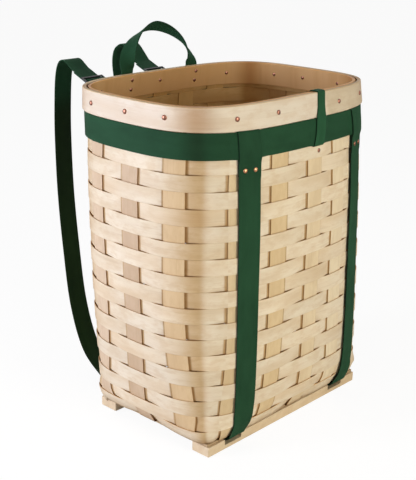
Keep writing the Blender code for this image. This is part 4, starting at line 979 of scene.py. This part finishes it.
def make_anchor(side, hand):
    """From behind the band, round its lower edge, up its face and out to the slider's lower rail."""
    wall = [(TAIL, BAND_TOP), (TAIL, BAND_BOTTOM)]
    wall += arc((FOLD_MIDDLE, BAND_BOTTOM - 0.6 * MM), FOLD_RADIUS, math.pi, 2 * math.pi)
    wall += [(FRONT, BAND_BOTTOM + 4 * MM), (FRONT, 474 * MM)]
    wall = thinned(soften(wall, 0.9 * MM, 4), 5 * MM)
    middle, columns = strap_on_wall(wall, "back", lambda z: hand * ANCHOR_SPREAD, WEBBING)
    middle = middle[:, ::-1]
    last = middle[-1]
    centre = last.mean(0)
    start = anchor_start(hand)
    reach = start[1] - centre[1]
    free = [
        centre, centre + np.array([0, 0.4 * MM, 4 * MM]), (start[0], centre[1] + reach * 0.35, 482.6 * MM),
        (start[0], centre[1] + reach * 0.70, 485.6 * MM), start, start + ALONG * 10 * MM, start + ALONG * 22 * MM,
    ]
    inner = -(SLIDER_RAIL / 2 + SLIDER_SLOT)
    outer = inner - SLIDER_RAIL
    turn = inner + 1.1 * MM
    loop = [
        (inner + 0.2 * MM, -WEB_HEIGHT), (turn, -WEB_HEIGHT + 0.6 * MM), (turn, WEB_HEIGHT - 0.6 * MM),
        (inner + 0.2 * MM, WEB_HEIGHT), (outer, WEB_HEIGHT), (outer - SLIDER_RAIL * 2, -0.4 * MM),
        (outer - SLIDER_RAIL * 2.8, -0.55 * MM), (outer - SLIDER_RAIL * 6, -0.55 * MM),
    ]
    free = thinned(soften(free + at_slider(hand, loop), 0.6 * MM, 5), 5 * MM)[1:]
    blend = ease((free[:, 1] - centre[1]) / (reach * 0.9))[:, None, None]
    bowed = free[:, None] + (last - centre)
    full = np.concatenate([middle, bowed * (1 - blend) + flat_sheet(free, columns) * blend])
    piece = sheet_solid(f"webbing_anchor_{side}", full, columns, WEB_THICK, 20 + hand)
    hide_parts(f"anchor_tab_{side}", f"anchor_strap_{side}")
    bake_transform(piece)


# Bows of the two shoulder straps: shares of the reach, of the height and of the way inwards.
LOWER_BOW = ((0.11, 0.0290, 0.02), (0.23, 0.0430, 0.05))
LEFT_BOW = LOWER_BOW + (
    (0.46, 0.1020, 0.13), (0.645, 0.230, 0.27), (0.775, 0.406, 0.44), (0.885, 0.585, 0.62),
    (0.962, 0.770, 0.80), (0.993, 0.888, 0.92), (0.998, 0.962, 0.99), (0.962, 1.006, 1.00), (0.895, 1.016, 1.00),
)
RIGHT_BOW = LOWER_BOW + (
    (0.462, 0.1020, 0.13), (0.650, 0.230, 0.27), (0.785, 0.406, 0.44), (0.905, 0.585, 0.62), (0.995, 0.770, 0.80),
    (1.040, 0.888, 0.92), (1.056, 0.965, 0.99), (1.040, 1.012, 1.00), (0.995, 1.034, 1.00), (0.915, 1.042, 1.00),
)


def make_shoulder_strap(side, hand):
    """Out of the back notch, up in a wide bow and down through the slider."""
    back_face = RUNNER_FACE + 0.3 * MM
    tip = np.array([hand * FRONT_BASE_SPREAD, back_face, UNDER_BASE])
    bow = [tip + np.array([0, 5.5 * MM, 0])]
    for reach, rise, inward in LEFT_BOW if hand < 0 else RIGHT_BOW:
        spread = hand * (FRONT_BASE_SPREAD + (ANCHOR_SPREAD - FRONT_BASE_SPREAD) * inward)
        bow.append(np.array([spread, back_face + STRAP_REACH * reach, HEIGHT * rise]))
    bow += at_slider(hand, [(44 * MM, -WEB_HEIGHT)])
    rail = 12 * MM
    bar = SLIDER_RAIL / 2
    below = -WEB_HEIGHT - 1.6 * MM - 0.6 * MM
    threaded = [
        (rail, -WEB_HEIGHT), (rail - 2.4 * MM, -WEB_HEIGHT), (bar * 1.8, WEB_HEIGHT), (-bar * 1.8, WEB_HEIGHT),
        (-bar * 2.9, -WEB_HEIGHT * 0.9), (-bar * 2.8, (below - WEB_HEIGHT) / 2 - 0.3 * MM), (-bar * 2.0, below),
        (rail, below), (38 * MM, below),
    ]
    route = [np.array([tip[0], 108.3 * MM, UNDER_BASE]), tip, *smooth_route(bow, 9)]
    bow_part = thinned(soften(route, 2 * MM, 6), 9 * MM)
    slider_part = thinned(soften([bow_part[-1], *at_slider(hand, threaded)], 0.5 * MM, 3), 4 * MM)
    full_route = np.concatenate([bow_part, slider_part[1:]])
    columns = sheet_columns(WEBBING, 7)
    # Painted shade: the straps darken below the rim, most on their long upper part and less towards the base.
    heights = full_route[:, 2:3]
    long_part = LOW_STRAP_SHADE + (LONG_STRAP_SHADE - LOW_STRAP_SHADE) * ease((heights - 0.20) / 0.20)
    piece = sheet_solid(
        f"webbing_shoulder_{side}", flat_sheet(full_route, columns), columns, WEB_THICK, 30 + hand,
        outside=1 - (1 - long_part) * ease((0.50 - heights) / 0.06),
    )
    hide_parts(f"shoulder_strap_{side}")
    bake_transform(piece)


def handle_place(hand):
    return HANDLE_CENTRE + hand * HANDLE_SPREAD


def handle_foot(hand, heights, inner=7):
    """Middle surface of one of the handle's flat ends, on the outside of the rim."""
    route = [(OVER_RIM, z) for z in heights]
    return strap_on_wall(route, "back", lambda z: handle_place(hand), NARROW, inner)[0]


def make_handle(steps=72, rise_height=67 * MM, twist=math.radians(132)):
    """Riveted ends and twisted arch of the grab handle, one run of narrow webbing."""
    pivot_height = HEIGHT + 2.2 * MM
    columns = sheet_columns(NARROW, 6)
    ends = [handle_foot(hand, [HEIGHT])[0] for hand in (-1, 1)]
    legs = [end.mean(0) for end in ends]
    alongs = [unit(end[-1] - end[0]) for end in ends]
    pivot_y = legs[1][1]
    route, twists = [], []
    for step in range(steps + 1):
        share = step / steps
        angle = math.pi * (1 - share)
        spread = math.copysign(abs(math.cos(angle)) ** 1.15, math.cos(angle))
        flat = legs[0] + (legs[1] - legs[0]) * (0.5 + 0.5 * spread)
        rise = math.sin(angle)
        lean = (9 * rise + 11 * rise**2) * MM
        route.append([flat[0] + 2 * MM * rise**2, pivot_y + lean, pivot_height + rise_height * rise])
        climb = 1 - abs(2 * share - 1)
        twists.append(-twist * (1 - (1 - climb) ** (1.83 if share < 0.5 else 1.71)))
    route = np.array(route)
    ahead = np.gradient(route, axis=0)
    ahead /= np.linalg.norm(ahead, axis=1, keepdims=True)
    level = np.stack([ahead[:, 2], np.zeros(steps + 1), -ahead[:, 0]], 1)
    directions = level * np.cos(twists)[:, None] + np.array([0, 1.0, 0]) * np.sin(twists)[:, None]
    for index, step, along in ((0, 1, alongs[0]), (steps, -1, alongs[1])):
        turn = 1 if along @ directions[index] > 0 else -1
        for near in range(4):
            place, keep = index + step * near, near / 4
            directions[place] = unit(along * turn * (1 - keep) + directions[place] * keep)
    arch = route[:, None, :] + directions[:, None, :] * columns[None, :, None]
    lower = []
    for hand, end_direction in ((-1, directions[0]), (1, directions[-1])):
        sheet = handle_foot(hand, np.array([499.0, 503.0, 508.0, 514.0, 520.0, 525.0, 528.0, 530.0]) * MM, 6)
        if (sheet[0][-1] - sheet[0][0]) @ end_direction < 0:
            sheet = sheet[:, ::-1]
        lower.append(sheet)
    full = np.concatenate([lower[0], arch, lower[1][::-1]])
    piece = sheet_solid("webbing_handle", full, columns, 1.8 * MM, 44)
    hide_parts("grab_handle", "handle_end_left", "handle_end_right")
    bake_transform(piece)


# ---- rivets and nails

def dome(name, spot, outward, radius, height, *nodes, material=AGED_COPPER, sides=28):
    """Domed head with a soft skirt, set square to the surface."""
    skirt = -0.25 * MM
    profile = [(radius * math.sin(a), height * math.cos(a)) for a in np.radians([12, 25, 38, 52, 66, 80, 90])]
    profile.append((radius * 0.96, skirt))
    local = [(0.0, 0.0, height)]
    for r, h in profile:
        for side in range(sides):
            angle = 2 * math.pi * side / sides
            local.append((r * math.cos(angle), r * math.sin(angle), h))
    local.append((0.0, 0.0, skirt))
    turn = Vector(outward).normalized().to_track_quat("Z", "Y").to_matrix()
    points = [tuple(turn @ Vector(point) + Vector(spot) + Vector(SHIFT)) for point in local]
    faces = []
    last = 1 + (len(profile) - 1) * sides
    for side in range(sides):
        following = (side + 1) % sides
        faces.append((0, 1 + side, 1 + following))
        for a in range(1, last, sides):
            faces.append((a + side, a + sides + side, a + sides + following, a + following))
        faces.append((last + side, len(points) - 1, last + following))
    piece = add_mesh(name, points, faces, [True] * len(faces), material)
    on_basket(piece, *nodes)


def wall_spot(face, across, z, distance, along=0.0):
    """A point off the wall, and the direction out of the side of the wall that it is on."""
    outline = plan(z)
    point, normal = outline.at(np.array([outline.place(face, across) + along]))
    x, y = point[0] + normal[0] * distance
    out = normal[0] if distance > 0 else -normal[0]
    return (x, y, z), (*out, 0.0)


def make_rivets():
    rivet, inner_head = (3.5 * MM, 1.8 * MM), (3.2 * MM, 1.2 * MM)
    z = BAND_BOTTOM - 16.5 * MM
    # The right front rivets take the darker copper, a painted shade.
    for side, hand, front_copper in (("left", -1, COPPER), ("right", 1, SHADED_COPPER)):
        for number, step in ((1, -1), (2, 1)):
            place = wall_spot("front", hand * front_spread(z), z, DOUBLED + 0.95 * MM, step * 8.25 * MM)
            label = f"{side}_{number}"
            dome(f"rivet_front_{label}", *place, *rivet, f"front_rivet_{label}", material=front_copper)
        for number, step in ((1, -1), (2, 1)):
            place = "back", handle_place(hand), (RIM_BOTTOM + HEIGHT) / 2 + step * 8 * MM
            spot, label = wall_spot(*place, OVER_RIM + 0.9 * MM), f"{side}_{number}"
            dome(f"rivet_handle_{label}", *spot, *rivet, f"handle_rivet_{label}", material=COPPER)
            dome(f"rivet_handle_inside_{label}", *wall_spot(*place, INNER_RIM_FACE), *inner_head)
    dome("nail_keeper", *wall_spot("front", 19 * MM, 446 * MM, WEAVE_FACE), 3.4 * MM, 1.6 * MM)


# Nails of the rim: face, and millimetres from its middle.
NAILS = (
    ("front", -140), ("front", -65.4), ("front", 78.7), ("front", 150),
    ("left", 73.2), ("left", -3.3), ("left", -76.6), ("right", 69.4), ("right", 7.4), ("right", -68.6),
    ("back", -140), ("back", 0), ("back", 151),
)


def make_nails():
    """Nails that clamp the two hoops, with their clenched ends inside."""
    for number, (face, across) in enumerate(NAILS):
        place = face, across * MM, (512 + 1.2 * math.sin(number * 2.4)) * MM
        for end, distance, *size in (
            ("outer", OUTER_RIM_FACE, 3.9 * MM, 2.1 * MM), ("inner", INNER_RIM_FACE, 3.0 * MM, 1.1 * MM)
        ):
            dome(f"nail_{end}_{number + 1:02d}", *wall_spot(*place, distance), *size)


def dress_nodes():
    """Nodes that keep the CAD's own shape."""
    for name, material in (
        # The base board takes the dark brown wood, a painted shade.
        ("front_runner", BASE_WOOD), ("back_runner", BASE_WOOD), ("base_board", SHADED_BOARD_WOOD),
        ("slider_left", BLACK), ("slider_right", BLACK),
    ):
        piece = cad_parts[name]
        piece.data.materials.clear()
        piece.data.materials.append(material)


# ---- stage, light and camera

def make_floor(reach=30.0, level=-0.0006):
    """Plain white floor: it takes the object's shadow, and glows for the camera alone."""
    corners = [(x * reach, y * reach, level) for x, y in ((-1, -1), (1, -1), (1, 1), (-1, 1))]
    material, tree, shader = new_material("floor_white")
    feed(tree, shader, Base_Color=(0.90, 0.90, 0.90), Roughness=0.9)
    glow = add_node(tree, "Emission", Color=(1, 1, 1), Strength=1.08)
    share = times(tree, add_node(tree, "LightPath").outputs["Is Camera Ray"], 0.85)
    mixed = add_node(tree, "MixShader", share, shader.outputs[0], glow.outputs[0])
    feed(tree, tree.nodes["Material Output"], Surface=mixed.outputs[0])
    add_mesh("floor", corners, [(0, 1, 2, 3)], [False], material)


def make_world(fill_strength=0.17):
    """White where it is seen, directly or in a reflection, and a low even light elsewhere."""
    world = bpy.data.worlds.new("studio")
    bpy.context.scene.world = world
    world.use_nodes = True
    tree = world.node_tree
    tree.nodes.clear()
    seen = add_node(tree, "Background", Color=(1, 1, 1), Strength=1.0)
    fill = add_node(tree, "Background", Color=(1, 0.985, 0.96), Strength=fill_strength)
    ray = add_node(tree, "LightPath").outputs
    direct = math_node(tree, "MAXIMUM", ray["Is Camera Ray"], ray["Is Glossy Ray"])
    direct = math_node(tree, "MAXIMUM", direct, ray["Is Transmission Ray"])
    mixed = add_node(tree, "MixShader", direct, fill.outputs[0], seen.outputs[0])
    add_node(tree, "OutputWorld", mixed.outputs[0])


def backward(azimuth, elevation):
    """Direction from what is looked at towards a lamp or the camera; azimuth 0 is the front."""
    level = math.cos(elevation)
    return math.sin(azimuth) * level, -math.cos(azimuth) * level, math.sin(elevation)


def make_lights(distance=2.4):
    target = Vector((0, -0.09, 0.27))
    for name, azimuth, elevation, size, power, tint in (
        ("soft_left", -116, 8.5, (0.8, 1.15), 39.5, (0.98, 0.995, 1.09)),
        ("soft_right", -4, 8.5, (0.8, 1.15), 29, (1.0, 0.945, 0.765)),
        ("soft_top", -50, 78, (1.6, 1.6), 4, (1, 1, 1)),
    ):
        data = bpy.data.lights.new(name, "AREA")
        data.shape = "RECTANGLE"
        data.size, data.size_y = size
        data.energy, data.color = power, tint
        lamp = add_object(name, data)
        back = Vector(backward(math.radians(azimuth), math.radians(elevation)))
        lamp.location = target + back * distance
        lamp.rotation_euler = (-back).to_track_quat("-Z", "Y").to_euler()


def make_camera(azimuth=-0.822, elevation=0.322, roll=0.017, distance=7.603, unit_length=0.215):
    """The camera as solved from the photo, in units of half the rim's width."""
    target = np.array([-0.142, 0.146, 1.274]) * unit_length + SHIFT
    back = np.array(backward(azimuth, elevation))
    right = unit(np.cross(-back, [0, 0, 1.0]))
    up = np.cross(right, -back)
    turned_right = math.cos(roll) * right + math.sin(roll) * up
    turned_up = -math.sin(roll) * right + math.cos(roll) * up
    data = bpy.data.cameras.new("camera")
    data.sensor_width = 36.0
    data.lens = 1004.793 / 480 * 36.0
    data.clip_start, data.clip_end = 0.05, 100
    camera = add_object("camera", data)
    columns = [turned_right, turned_up, back, target + back * distance * unit_length]
    rows = [[float(column[axis]) for column in columns] for axis in range(3)]
    camera.matrix_world = Matrix(rows + [[0, 0, 0, 1]])
    bpy.context.scene.camera = camera


make_splints()
make_hoops()
make_band()
for side_name, side_hand in (("left", -1), ("right", 1)):
    make_front_strap(side_name, side_hand)
    make_anchor(side_name, side_hand)
    make_shoulder_strap(side_name, side_hand)
make_keeper()
make_handle()
make_rivets()
make_nails()
dress_nodes()
make_floor()
make_world()
make_lights()
make_camera()
bpy.context.scene.view_settings.view_transform = "Standard"
